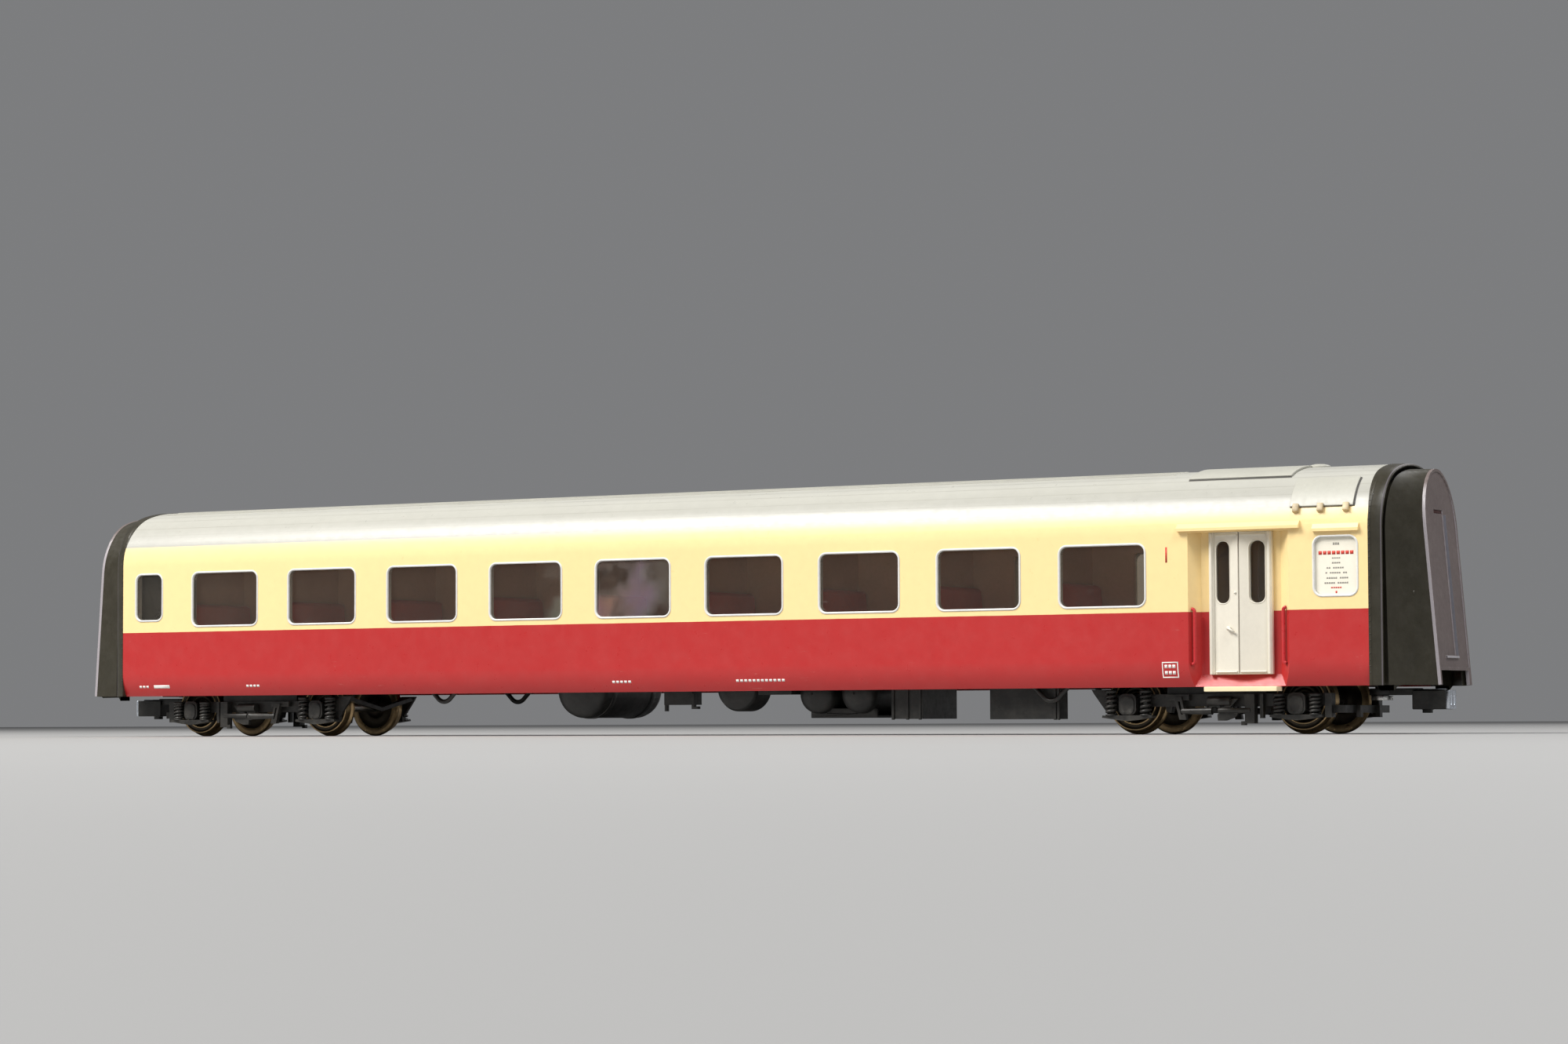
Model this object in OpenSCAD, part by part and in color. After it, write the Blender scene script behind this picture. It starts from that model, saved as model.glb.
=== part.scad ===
// Model passenger coach in 1:87 scale (H0): a long one-class coach with a moulded body,
// a sprung gangway shell at each end, two swivelling bogies and two swinging couplers.
// X runs along the coach with the entrance end at +X, Y across it and Z up from the
// lowest point of the wheel flanges.

/* [Body] */
// Length of the painted body shell
body_len = 273.2; // [272:0.2:273.6]
// Width over the body sides
body_w = 33.2; // [32.8:0.1:33.6]
// Height of the roof crown above the flange bottoms
roof_z = 46.9; // [46.4:0.1:47.4]
// Height of the lower edge of the body sides
skirt_z = 8.3; // [8.2:0.1:8.6]
// Radius of the roof crown
crown_r = 30; // [28:0.5:34]
// Radius of the curve from roof to side
cant_r = 11; // [10:0.5:12]
// Radius of the tuck-under at the foot of the sides
tuck_r = 9.8; // [9:0.2:14]
// Wall thickness of the body shell
wall = 1.2; // [1.1:0.05:1.3]

/* [Windows] */
// Number of large windows on each side
window_count = 9; // [7:1:9]
// Distance between large windows
window_pitch = 24.58; // [24:0.02:25]
// X of the first large window's centre
window_x0 = -110; // [-111:0.1:-109]
// Width of a large pane
pane_w = 16.4; // [15:0.1:17]
// Height of a large pane
pane_h = 10.6; // [10:0.1:11]
// Height of a large pane's lower edge
pane_z = 22.7; // [22:0.1:23]
// Width of a window frame's face
frame_w = 0.4; // [0.3:0.05:0.8]
// How far a window frame stands proud of the side
frame_proud = 0.15; // [0.1:0.05:0.3]

/* [Entrance] */
// X of the middle of the entrance doors
door_x = 112.4; // [112.3:0.1:113]
// Width of the door moulding
door_w = 11.8; // [11.4:0.1:12.2]
// Depth from the body side to the back of the entrance recess
recess_depth = 2.5; // [2.2:0.1:2.6]
// How far the folded middle of the doors comes forward
door_fold = 1.1; // [0.6:0.1:1.2]

/* [Ends] */
// Half width of the gangway end plate
plate_half_w = 7.7; // [7.4:0.1:8]
// Lean of the gangway end plate from upright, in degrees
plate_lean = 4.9; // [4.5:0.1:5.3]

/* [Running gear] */
// Distance between the bogie pivots
pivot_dist = 211.4; // [210.4:0.1:212]
// Distance between the axles of a bogie
wheelbase = 32; // [31.6:0.1:32.4]
// Radius over the wheel flange
flange_r = 5.85; // [5.8:0.05:5.9]
// Radius of the wheel tread
tread_r = 5.3; // [5.2:0.05:5.35]
// Distance between the inner faces of a wheelset's wheels
back_to_back = 14.4; // [14.2:0.05:14.6]
// Radius of an axle journal
journal_r = 0.75; // [0.6:0.05:0.8]
// Radial clearance of journals, pivots and guide pins
run_gap = 0.06; // [0.03:0.01:0.09]

/* [Hidden] */
$fn = 48;

half_len = body_len / 2;
half_w = body_w / 2;
eps = 0.01;

// Body cross-section: tuck-under, upright side, cant curve and crown, all tangent.
tuck_z = 13;
crown_cz = roof_z - crown_r;
cant_cy = half_w - cant_r;
cant_cz = crown_cz + sqrt(pow(crown_r - cant_r, 2) - pow(cant_cy, 2));
cant_end = atan2(cant_cz - crown_cz, cant_cy);

// Window and board openings, as [centre x, lower z, width, height, corner radius].
window_r = 1.3;
large_windows = [for (k = [0 : window_count - 1])
    [window_x0 + k * window_pitch, pane_z, pane_w, pane_h, window_r]];
toilet_window = [-129.7, 24, 6.6, 9.2, window_r];
board_window = [130.65, 23.9, 7.6, 9.8, window_r];

// Entrance recess, all on one side of the coach.
recess_out = [103.2, 122.05];
recess_in = [104.65, 119.6];
recess_top = 35.2;
recess_wall = 0.7;
recess_back = half_w - recess_depth;
sill_z = 10.4;
sill_foot_y = -15.35;
leaf_window = [3.2, 22.8, 2.8, 10.8, 1.25];
jamb_w = 0.9;

// Roof fittings at the entrance end.
hatch_edge = 61;
dome_x = 121.4;
dome_r = 2;

// Floors, from the chassis plate upwards.
chassis_z = 12.4;
chassis_t = 1.2;
ballast_z = chassis_z + chassis_t;
ballast_t = 1;
floor_z = ballast_z + ballast_t;
floor_t = 0.8;
seat_z = floor_z + floor_t;
compartment_top = 36;
corridor_y = 5.6;
partition_t = 0.8;

// Ends.
ring_len = 2.2;
ring_x = half_len + ring_len;
ring_foot_z = 13.8;
lip_inset = 0.9;
lip_drop = 0.1;
ring_bore_inset = 1.3;
ring_bore_drop = 0.55;
ring_lean = 0.9;
ring_lean_z = 38;
bulkhead_x = half_len - 3.4;
bulkhead_t = 1;
ring_flange = 0.4;
spigot_inset = 1.9;
collar_inset = 2.2;
collar_len = 1.5;
mouth_x = ring_x + 0.7;
wide_taper = 1;
wide_lean = 3.9;
mouth_lean = 0.8;
shell_inset = 1.5;
shell_drop = 0.95;
shell_t = 0.9;
shell_foot_x = 146.2;
shell_z = 8.35;
plate_t = 0.6;
plate_shoulder_z = 36;
plate_top_z = 46;
foot_slot = [-7.1, 13.6, 10.9];
guide_y = 9.5;
guide_z = 24;
guide_r = 1;

// Bogies and couplers.
axle_z = flange_r;
bolster_z = 6.6;
bolster_top = 8.75;
beam_in = 10.3;
beam_out = 11.3;
beam_z = 4.9;
beam_top = 7.1;
box_out = 12.9;
spring_y = 12.45;
spring_r = 1.1;
spring_foot = 3.4;
post_x = 21.6;
post_in = 20.2;
post_foot = 2.9;
high_top = 7.9;
shoulder_r = 1.7;
screw_r = 1;
coupler_x = 132.5;
drawbar_z = 6.7;
drawbar_t = 1.2;

function arc(cx, cy, r, a0, a1, n) =
    [for (k = [0 : n]) [cx + r * cos(a0 + (a1 - a0) * k / n), cy + r * sin(a0 + (a1 - a0) * k / n)]];

function mirrored(points) = [for (k = [len(points) - 1 : -1 : 0]) [-points[k][0], points[k][1]]];

function without_first(points) = [for (k = [1 : len(points) - 1]) points[k]];

// Right-hand half of the body section, drawn in by the inset, from the skirt to the crown.
function half_section(inset) = concat(
    arc(half_w - tuck_r, tuck_z, tuck_r - inset, -asin((tuck_z - skirt_z) / (tuck_r - inset)), 0, 6),
    arc(cant_cy, cant_cz, cant_r - inset, 0, cant_end, 14),
    without_first(arc(0, crown_cz, crown_r - inset, cant_end, 90, 6)));

function section(inset) =
    let (half = half_section(inset))
    concat(half, mirrored([for (k = [0 : len(half) - 2]) half[k]]));

// Section with straight feet, narrowed at the sides and lowered at the top.
function narrowed(side, drop) =
    let (half = concat([[half_w, skirt_z]], arc(cant_cy, cant_cz, cant_r, 0, cant_end, 14),
        without_first(arc(0, crown_cz, crown_r, cant_end, 90, 6))),
        all = concat(half, mirrored([for (k = [0 : len(half) - 2]) half[k]])))
    [for (p = all) [p[0] * (half_w - side) / half_w, p[1] > skirt_z ? p[1] - drop : p[1]]];

function round_rect(w, h, r) = concat(
    arc(w / 2 - r, h / 2 - r, r, 0, 90, 6), arc(r - w / 2, h / 2 - r, r, 90, 180, 6),
    arc(r - w / 2, r - h / 2, r, 180, 270, 6), arc(w / 2 - r, r - h / 2, r, 270, 360, 6));

// Gangway end plate outline: straight sides, then an arch that narrows to the top.
function plate_outline(grow, foot) =
    let (rise = plate_top_z + grow - plate_shoulder_z, half = plate_half_w + grow)
    concat([[half, foot]],
        [for (a = [0 : 7.5 : 180]) [half * cos(a), plate_shoulder_z + rise * sin(a)]],
        [[-half, foot]]);

module lengthways(x0, x1) {
    translate([x0, 0, 0]) rotate([90, 0, 90]) linear_extrude(x1 - x0) children();
}

// Extrudes an x-z outline across the coach.
module crossways(y0, y1) {
    translate([0, y1, 0]) rotate([90, 0, 0]) linear_extrude(y1 - y0) children();
}

module upwards(z0, z1) {
    translate([0, 0, z0]) linear_extrude(z1 - z0) children();
}

module block(x0, x1, y0, y1, z0, z1) {
    translate([x0, y0, z0]) cube([x1 - x0, y1 - y0, z1 - z0]);
}

module both_sides() {
    children();
    mirror([0, 1, 0]) children();
}

// The rear end is the front end turned round.
module rear_end() {
    rotate([0, 0, 180]) children();
}

// One outline hollowed by another and open at the foot.
module hoop(outer, inner) {
    last = len(inner) - 1;
    difference() {
        polygon(outer);
        polygon(concat([[inner[0][0], skirt_z - 1]], inner, [[inner[last][0], skirt_z - 1]]));
    }
}

module section_hoop(outer, inner) {
    hoop(section(outer), section(inner));
}

module window_outline(w, grow) {
    translate([w[0], w[1] + w[3] / 2])
        polygon(round_rect(w[2] + 2 * grow, w[3] + 2 * grow, w[4] + grow));
}

// ---------------------------------------------------------------- body

module recess_plan(grow) {
    reach = 1 + 1 / recess_depth;
    far = [for (k = [0, 1]) recess_in[k] + reach * (recess_out[k] - recess_in[k])];
    polygon([[far[0] - grow, -half_w - 1], [far[1] + grow, -half_w - 1],
        [recess_in[1] + grow, -recess_back + grow], [recess_in[0] - grow, -recess_back + grow]]);
}

// Box of plastic behind the entrance recess, trimmed to the body section.
module recess_liner() {
    intersection() {
        lengthways(half_len - 50, half_len) polygon(section(0));
        upwards(skirt_z, recess_top + recess_wall) recess_plan(recess_wall);
    }
}

module recess_cut() {
    intersection() {
        upwards(skirt_z - 1, recess_top) recess_plan(0);
        lengthways(half_len - 50, half_len) polygon([[-recess_back, recess_top],
            [-recess_back, sill_z], [sill_foot_y, skirt_z + 0.15], [sill_foot_y - 0.1, skirt_z - 1],
            [-half_w - 3, skirt_z - 1], [-half_w - 3, recess_top]]);
    }
}

module gutter(x0, x1, z0, proud) {
    lengthways(x0, x1) polygon([[0.3 - half_w, z0], [-half_w - proud, z0],
        [-half_w - proud, z0 + 0.5], [-half_w - 0.1, z0 + 1.3], [0.3 - half_w, z0 + 1.3]]);
}

module roof_ribs() {
    for (a = [3.5, 7, 10.5, 14]) for (s = [-1, 1])
        lengthways(4 - half_len, 97) translate([0, crown_cz]) rotate(-s * a)
            translate([-0.15, crown_r - 0.4]) square([0.3, 0.5]);
}

// Wedge at the body's end where the end ring leans back over the crown.
module crown_lean() {
    crossways(-half_w, half_w) polygon([[half_len, ring_lean_z], [half_len + 1, ring_lean_z],
        [half_len + 1, roof_z + 1], [half_len - ring_lean, roof_z + 1]]);
}

module body_shell() color([0.99, 0.9, 0.66]) {
    difference() {
        union() {
            lengthways(-half_len, half_len) section_hoop(0, wall);
            both_sides() recess_liner();
            both_sides() gutter(101.3, 124.2, recess_top + 0.25, 0.8);
            both_sides() gutter(126.6, 135, 34.75, 0.6);
            roof_ribs();
        }
        both_sides() recess_cut();
        both_sides() crossways(-half_w, 1 - recess_back) translate([door_x, (sill_z + recess_top) / 2])
            square([door_w - 2 * jamb_w, recess_top - sill_z - 1.4], center = true);
        both_sides() crossways(-half_w - 1, 1.5 * wall + 0.5 - half_w) {
            for (w = large_windows) window_outline(w, frame_w);
            window_outline(toilet_window, frame_w);
            window_outline(board_window, frame_w);
        }
        crown_lean();
        rear_end() crown_lean();
    }
}

// Rims of the right-hand side, seated in the openings of the body.
module window_rims() {
    for (w = concat(large_windows, [toilet_window, board_window]))
        crossways(-half_w - frame_proud, wall - half_w) difference() {
            window_outline(w, frame_w);
            window_outline(w, 0);
        }
}

module window_frames_right() color([0.92, 0.92, 0.9]) window_rims();
module window_frames_left() color([0.92, 0.92, 0.9]) mirror([0, 1, 0]) window_rims();

// One clear moulding per side: a long strip with a raised pane for each window.
module glazing() {
    strip_t = 0.7;
    block(-133.1, 98, wall - half_w, wall + strip_t - half_w, 20.5, 34.8);
    crossways(0.25 - half_w, wall + eps - half_w) {
        for (w = large_windows) window_outline(w, 0);
        window_outline(toilet_window, 0);
    }
}

module glazing_right() color([0.3, 0.25, 0.2, 0.5]) glazing();
module glazing_left() color([0.3, 0.25, 0.2, 0.5]) mirror([0, 1, 0]) glazing();

module destination_boards() color([0.95, 0.94, 0.9]) both_sides() {
    crossways(0.4 - half_w, wall - half_w) window_outline(board_window, 0);
}

// ---------------------------------------------------------------- entrance

module door_plan() {
    back = -recess_back;
    edge = back - 0.6;
    nose = edge - door_fold;
    h = door_w / 2;
    polygon([[door_x - h, back], [door_x - h, edge - 0.35], [door_x + jamb_w - h, edge - 0.35],
        [door_x + jamb_w - h, edge], [door_x - 0.1, nose], [door_x - 0.1, nose + 0.3],
        [door_x + 0.1, nose + 0.3], [door_x + 0.1, nose], [door_x + h - jamb_w, edge],
        [door_x + h - jamb_w, edge - 0.35], [door_x + h, edge - 0.35], [door_x + h, back]]);
}

module leaf_windows(grow) {
    for (s = [-1, 1]) translate([door_x + s * leaf_window[0], leaf_window[1] + leaf_window[3] / 2])
        polygon(round_rect(leaf_window[2] + 2 * grow, leaf_window[3] + 2 * grow, leaf_window[4] + grow));
}

// Folding doors as one moulding: two leaves with a groove between them and a jamb each side.
module door() {
    difference() {
        upwards(sill_z, recess_top) door_plan();
        crossways(-half_w, 1 - recess_back) leaf_windows(0);
    }
}

module door_right() color([0.93, 0.91, 0.86]) door();
module door_left() color([0.93, 0.91, 0.86]) mirror([0, 1, 0]) door();

module door_glazing() color([0.35, 0.3, 0.22, 0.5]) both_sides()
    crossways(-recess_back - 0.5, -recess_back - 0.1) leaf_windows(0);

module door_handles() color("silver") both_sides() {
    handle_y = -recess_back - 0.6 - door_fold;
    difference() {
        union() {
            for (knob = [[-2.2, 18.4, 0.45], [-0.95, 24.6, 0.25]])
                translate([door_x + knob[0], handle_y + 0.7, knob[1]]) rotate([90, 0, 0])
                    cylinder(h = 1, r = knob[2]);
            crossways(handle_y - 0.5, handle_y - 0.2) translate([door_x, 0]) polygon([[-2.4, 18.2],
                [-2.4, 18.6], [-2, 18.6], [-0.95, 17.95], [-0.95, 17.5], [-1.3, 17.5]]);
        }
        upwards(sill_z, recess_top) door_plan();
    }
}

// Upright rails just inside the recess, each on two short stand-offs.
module grab_rails() color([0.7, 0.16, 0.17]) both_sides() for (s = [-1, 1]) {
    rail_x = s < 0 ? recess_out[0] + 1 : recess_out[1] - 1.25;
    rail_y = 0.55 - half_w;
    translate([rail_x, rail_y, 12]) cylinder(h = 10.15, r = 0.36);
    for (z = [12.4, 21.75]) translate([rail_x, rail_y, z])
        rotate([0, s * 90, 0]) cylinder(h = 0.52, r = 0.25);
}

module footsteps() color([0.95, 0.88, 0.66]) both_sides()
    block(106.3, 120, -half_w - 0.75, 1.8 - half_w, 7.45, skirt_z);

// ---------------------------------------------------------------- roof

// Plate lying on the roof: the area under an outline, less the body.
module roof_plate(x0, x1, outline) {
    lengthways(x0, x1) difference() {
        polygon(concat(outline, [[0, cant_cz - 5]]));
        polygon(section(0));
    }
}

module roof_long_hatch() color([0.86, 0.85, 0.8]) {
    half = concat(arc(cant_cy, cant_cz, cant_r + 0.4, hatch_edge, cant_end, 4),
        without_first(arc(0, crown_cz, crown_r + 0.4, cant_end, 90, 6)));
    difference() {
        roof_plate(101.2, 120.6, concat(half, mirrored([for (k = [0 : len(half) - 2]) half[k]])));
        translate([dome_x, 0, roof_z - 1]) cylinder(h = 3, r = dome_r + 0.05);
    }
}

// Hatches on the curve of the roof beside the entrance, one on each side.
module roof_side_hatches() color([0.86, 0.85, 0.8]) both_sides()
    roof_plate(122.2, 133.8, arc(-cant_cy, cant_cz, cant_r + 0.35, 125.3, 158.5, 10));

// Latches across the lower edge of each side hatch.
module hatch_latches() color([0.8, 0.78, 0.7]) difference() {
    both_sides() for (x = [123.4, 127.9, 132.6])
        roof_plate(x - 0.55, x + 0.55, arc(-cant_cy, cant_cz, cant_r + 0.7, 156.6, 163.5, 3));
    roof_side_hatches();
    lengthways(half_len - 50, half_len) polygon(section(-0.02));
}

module roof_dome() color([0.86, 0.85, 0.8]) difference() {
    translate([dome_x, 0, roof_z - 0.1]) rotate_extrude() polygon([[0, 0], [dome_r, 0],
        [dome_r, 0.3], [dome_r - 0.4, 0.52], [dome_r - 1.1, 0.68], [0, 0.73]]);
    lengthways(half_len - 50, half_len) polygon(section(0));
}

// ---------------------------------------------------------------- ends

// Dark end piece: a bulkhead and spigot inside the body and a tapered ring outside it.
module end_ring() {
    difference() {
        union() {
            lengthways(bulkhead_x, bulkhead_x + bulkhead_t) intersection() {
                polygon(section(wall));
                translate([-half_w, ring_foot_z]) square([body_w, roof_z]);
            }
            lengthways(bulkhead_x, half_len + eps) intersection() {
                section_hoop(wall, spigot_inset);
                translate([-half_w, ring_foot_z]) square([body_w, roof_z]);
            }
            intersection() {
                lengthways(half_len - ring_lean - 1, half_len + eps) section_hoop(0, wall + 0.1);
                crown_lean();
            }
            lengthways(half_len, half_len + ring_flange) hoop(narrowed(0, 0), section(spigot_inset));
            difference() {
                hull() {
                    lengthways(half_len, half_len + eps) polygon(narrowed(0, 0));
                    lengthways(ring_x - eps, ring_x) polygon(narrowed(lip_inset, lip_drop));
                }
                lengthways(half_len - 1, ring_x + 1) union() {
                    polygon(narrowed(ring_bore_inset, ring_bore_drop));
                    translate([ring_bore_inset - half_w, skirt_z - 1])
                        square([body_w - 2 * ring_bore_inset, 2]);
                }
            }
        }
        for (s = [-1, 1]) translate([bulkhead_x - 1, s * guide_y, guide_z]) rotate([0, 90, 0])
            cylinder(h = bulkhead_t + 2, r = guide_r + run_gap);
    }
}

module end_ring_front() color([0.2, 0.18, 0.14]) end_ring();
module end_ring_rear() color([0.2, 0.18, 0.14]) rear_end() end_ring();

// Section of the gangway shell, drawn in by the inset and cut off at the given foot; the taper
// draws in its sides only.
module shell_slice(inset, foot, taper = 0) {
    intersection() {
        polygon(narrowed(shell_inset + taper + inset, shell_drop + 1.5 * inset));
        translate([-half_w, foot]) square([body_w, roof_z]);
    }
}

// Frame that leans back by an angle about a foot at the given x.
module leaning(foot_x, lean) {
    translate([foot_x, 0, shell_z]) rotate([0, -lean, 0]) translate([0, 0, -shell_z]) children();
}

// Outline of the outer end: almost the full width of the shell when wide, else a narrow arch.
module outer_end(grow, foot, wide) {
    if (wide) shell_slice(-grow, foot, wide_taper);
    else polygon(plate_outline(grow, foot));
}

// Solid bulk of the gangway shell, drawn in on every side by the inset.
module shell_bulk(inset, foot, wide) {
    hull() {
        leaning(mouth_x + inset, mouth_lean) lengthways(0, 0.1) shell_slice(inset, foot, inset);
        leaning(shell_foot_x - plate_t - inset, wide ? wide_lean : plate_lean) lengthways(-0.1, 0)
            outer_end(-inset, foot, wide);
    }
}

module foot_opening(x0, x1) {
    lengthways(x0, x1) translate([foot_slot[0], 0]) square([foot_slot[1], foot_slot[2]]);
}

// Smooth outer shell with a narrower collar that slides inside the end ring, guided by two pins.
module gangway_shell(wide, pin_end) {
    difference() {
        union() {
            shell_bulk(0, shell_z, wide);
            lengthways(ring_x - collar_len, mouth_x + 0.5) intersection() {
                polygon(section(collar_inset));
                translate([-half_w, shell_z]) square([body_w, roof_z]);
            }
        }
        shell_bulk(shell_t, shell_z - 1, wide);
        leaning(mouth_x, mouth_lean) lengthways(-0.1, shell_t + eps) shell_slice(shell_t, shell_z - 1, shell_t);
        lengthways(ring_x - collar_len - 1, mouth_x) polygon(section(collar_inset + shell_t));
        foot_opening(shell_foot_x - 3, shell_foot_x);
    }
    for (s = [-1, 1]) translate([bulkhead_x - 3, s * guide_y, guide_z]) rotate([0, 90, 0]) {
        cylinder(h = pin_end - bulkhead_x + 3, r = guide_r);
        translate([0, 0, 1.8]) cylinder(h = 0.8, r = guide_r + 0.6);
    }
}

module gangway_shell_front() color([0.22, 0.2, 0.15]) gangway_shell(false, mouth_x + 3.2);
module gangway_shell_rear() color([0.22, 0.2, 0.15]) rear_end() gangway_shell(true, mouth_x + 4.5);

// End plate on the shell's leaning face: rim, door rib, small ledge, notch and foot opening.
module gangway_plate(wide) {
    leaning(shell_foot_x - plate_t, wide ? wide_lean : plate_lean) {
        difference() {
            lengthways(0, plate_t) outer_end(0, shell_z, wide);
            lengthways(plate_t - 0.2, plate_t + 1) outer_end(-0.5, foot_slot[2] + 0.5, wide);
            lengthways(plate_t - 0.4, plate_t + 1) translate([-2.95, 38.1]) square([4.45, 0.7]);
            foot_opening(-1, plate_t + 1);
        }
        lengthways(plate_t - 0.25, plate_t) translate([0.9, 13.4]) square([1.5, 24.6]);
        lengthways(plate_t - 0.25, plate_t + 0.1) translate([-3.7, 12.95]) square([6, 0.5]);
    }
}

module gangway_plate_front() color([0.42, 0.37, 0.37]) gangway_plate(false);
module gangway_plate_rear() color([0.42, 0.37, 0.37]) rear_end() gangway_plate(true);

// Ring-shaped turns that stand for a coil spring, on the Z axis.
module coil(r, wire, h, turns, hole) {
    pitch = h / turns;
    rotate_extrude() polygon(concat([[hole, 0]],
        [for (k = [0 : turns - 1]) each [[r - wire, k * pitch], [r, (k + 0.3) * pitch],
            [r, (k + 0.7) * pitch]]],
        [[r - wire, h], [hole, h]]));
}

module gangway_springs() {
    for (s = [-1, 1]) translate([bulkhead_x + bulkhead_t + 0.1, s * guide_y, guide_z])
        rotate([0, 90, 0]) coil(1.8, 0.35, 7, 6, guide_r + 0.15);
}

module gangway_springs_front() color("silver") gangway_springs();
module gangway_springs_rear() color("silver") rear_end() gangway_springs();

// ---------------------------------------------------------------- inside

module seats() color([0.45, 0.1, 0.1]) for (w = large_windows) for (s = [-1, 1])
    translate([w[0] + s * (window_pitch - partition_t) / 2, 0, seat_z]) mirror([s > 0 ? 0 : 1, 0, 0])
        crossways(-14, corridor_y - partition_t - 0.2) polygon([[0, 0], [-6.2, 0], [-6.6, 1],
            [-6.4, 3.6], [-5.9, 4.1], [-2.6, 3.8], [-1.9, 11.2], [-1.2, 11.8], [0, 11.8]]);

// Compartment partitions and the corridor wall with one doorway per compartment.
module compartment_walls() color([0.45, 0.38, 0.32]) {
    first = window_x0 - window_pitch / 2;
    last = window_x0 + (window_count - 0.5) * window_pitch;
    for (k = [0 : window_count])
        block(first + k * window_pitch - partition_t / 2, first + k * window_pitch + partition_t / 2,
            -14.3, corridor_y - partition_t + eps, seat_z, compartment_top);
    difference() {
        block(first - partition_t / 2, last + partition_t / 2, corridor_y - partition_t, corridor_y,
            seat_z, compartment_top);
        for (w = large_windows)
            block(w[0] - 3.5, w[0] + 3.5, corridor_y - 2, corridor_y + 1, seat_z - 1, 33);
    }
}

module interior_floor() color([0.3, 0.25, 0.22])
    block(-130, 103, -14.3, 14.3, floor_z, seat_z);

module ballast_weight() color([0.6, 0.6, 0.62]) block(-75, 75, -11, 11, ballast_z, floor_z);

// ---------------------------------------------------------------- underframe

module chassis() color([0.1, 0.1, 0.1]) {
    difference() {
        union() {
            block(-129, 129, -15.2, 15.2, chassis_z, ballast_z);
            for (x = [-72, -64, -50, -42, 51, 57])
                block(x - 0.4, x + 0.4, -12, 12, chassis_z - 1, chassis_z + eps);
            for (s = [-1, 1]) {
                block(s > 0 ? 128.9 : -135, s > 0 ? 135 : -128.9, -12.5, 12.5, chassis_z, ballast_z);
                translate([s * pivot_dist / 2, 0, 8.9]) cylinder(h = chassis_z - 8.9 + eps, r = 3.4);
                translate([s * coupler_x, 0, 8.15]) cylinder(h = chassis_z - 8.15 + eps, r = 2.3);
            }
        }
        for (s = [-1, 1]) {
            translate([s * pivot_dist / 2, 0, 8]) cylinder(h = 8, r = screw_r);
            translate([s * coupler_x, 0, 7]) cylinder(h = 8, r = 0.8);
            translate([s * 82, 0, chassis_z - 1]) cylinder(h = 4, r = 0.9);
        }
        both_sides() block(recess_out[0] - 1.5, recess_out[1] + 1.5, -16, 0.05 - recess_back + recess_wall,
            chassis_z - 1, ballast_z + 1);
    }
}

module pan_screw(head_z, head_r, head_h, shoulder, shoulder_top, shank, top) {
    difference() {
        translate([0, 0, head_z]) cylinder(h = head_h, r = head_r);
        translate([0, 0, head_z]) cube([2 * head_r + 1, 0.5, 0.8], center = true);
    }
    translate([0, 0, head_z + head_h - eps]) cylinder(h = shoulder_top - head_z - head_h + eps, r = shoulder);
    translate([0, 0, shoulder_top - eps]) cylinder(h = top - shoulder_top + eps, r = shank);
}

module bogie_pivot_screws() color("silver") for (s = [-1, 1]) translate([s * pivot_dist / 2, 0, 0])
    pan_screw(5.3, 2.8, 1.15, shoulder_r, 8.9, screw_r, 13.4);

module coupler_pivot_screws() color("silver") for (s = [-1, 1]) translate([s * coupler_x, 0, 0])
    pan_screw(5.85, 1.9, 0.75, 1.2, 8.15, 0.8, 13.4);

module chassis_screws() color("silver") for (s = [-1, 1]) translate([s * 82, 0, 0])
    pan_screw(chassis_z - 0.9, 1.7, 0.9, 0.9, chassis_z + 0.5, 0.9, ballast_z + 0.9);

// Tank across the coach with domed ends, about the given x and z.
module cross_tank(x, z, r, half, dome) {
    translate([x, 0, z]) rotate([90, 0, 0]) rotate_extrude() polygon(concat([[0, -half]],
        [for (a = [15 : 15 : 90]) [r * sin(a), dome * (1 - cos(a)) - half]],
        [for (a = [90 : -15 : 15]) [r * sin(a), half - dome * (1 - cos(a))]], [[0, half]]));
}

module below_chassis() {
    intersection() {
        children();
        block(-80, 80, -16, 16, 0, chassis_z);
    }
}

module main_tank() color([0.12, 0.12, 0.12]) below_chassis() union() {
    cross_tank(-27.4, 9.1, 5.7, 12.4, 3);
    for (y = [-7, 7]) translate([-27.4, y + 0.6, 9.1]) rotate([90, 0, 0]) cylinder(h = 1.2, r = 5.85);
}

// Two reservoirs side by side, with a bracket above each, in the end walls of a tray below.
module air_reservoirs() color([0.12, 0.12, 0.12]) {
    below_chassis() union() for (x = [24.9, 33.8]) {
        cross_tank(x, 7.7, 3.7, 12, 2.6);
        block(x - 1.6, x + 1.6, -8, 8, 10.8, chassis_z + 1);
    }
    block(22.7, 36.8, -8.5, 8.5, 3.2, 3.7);
    for (y = [-8.5, 8]) block(22.7, 36.8, y, y + 0.5, 3.2, 5);
}

module air_compressor() color([0.12, 0.12, 0.12]) below_chassis() union() {
    translate([8.1, -12, 9]) rotate([-90, 0, 0]) rotate_extrude() polygon([[0, 0], [2.9, 0.1],
        [4.1, 0.7], [4.5, 1.6], [4.5, 6.2], [3.7, 6.4], [3.7, 7.6], [2.7, 7.8], [2.7, 9.4], [0, 9.4]]);
    block(6.9, 9.3, -10.5, -5, 11, chassis_z + 1);
    block(13.4, 20.6, -12.2, -8, 7.6, chassis_z + 1);
}

// Plain box hanging from the chassis, with upright ribs on its outer face.
module equipment_box(x0, x1, y1, z0, rib_x) {
    block(x0, x1, -12, y1, z0, chassis_z);
    for (x = rib_x) block(x, x + 0.45, -12.3, -11.9, z0 - 0.15, 11);
}

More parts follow.
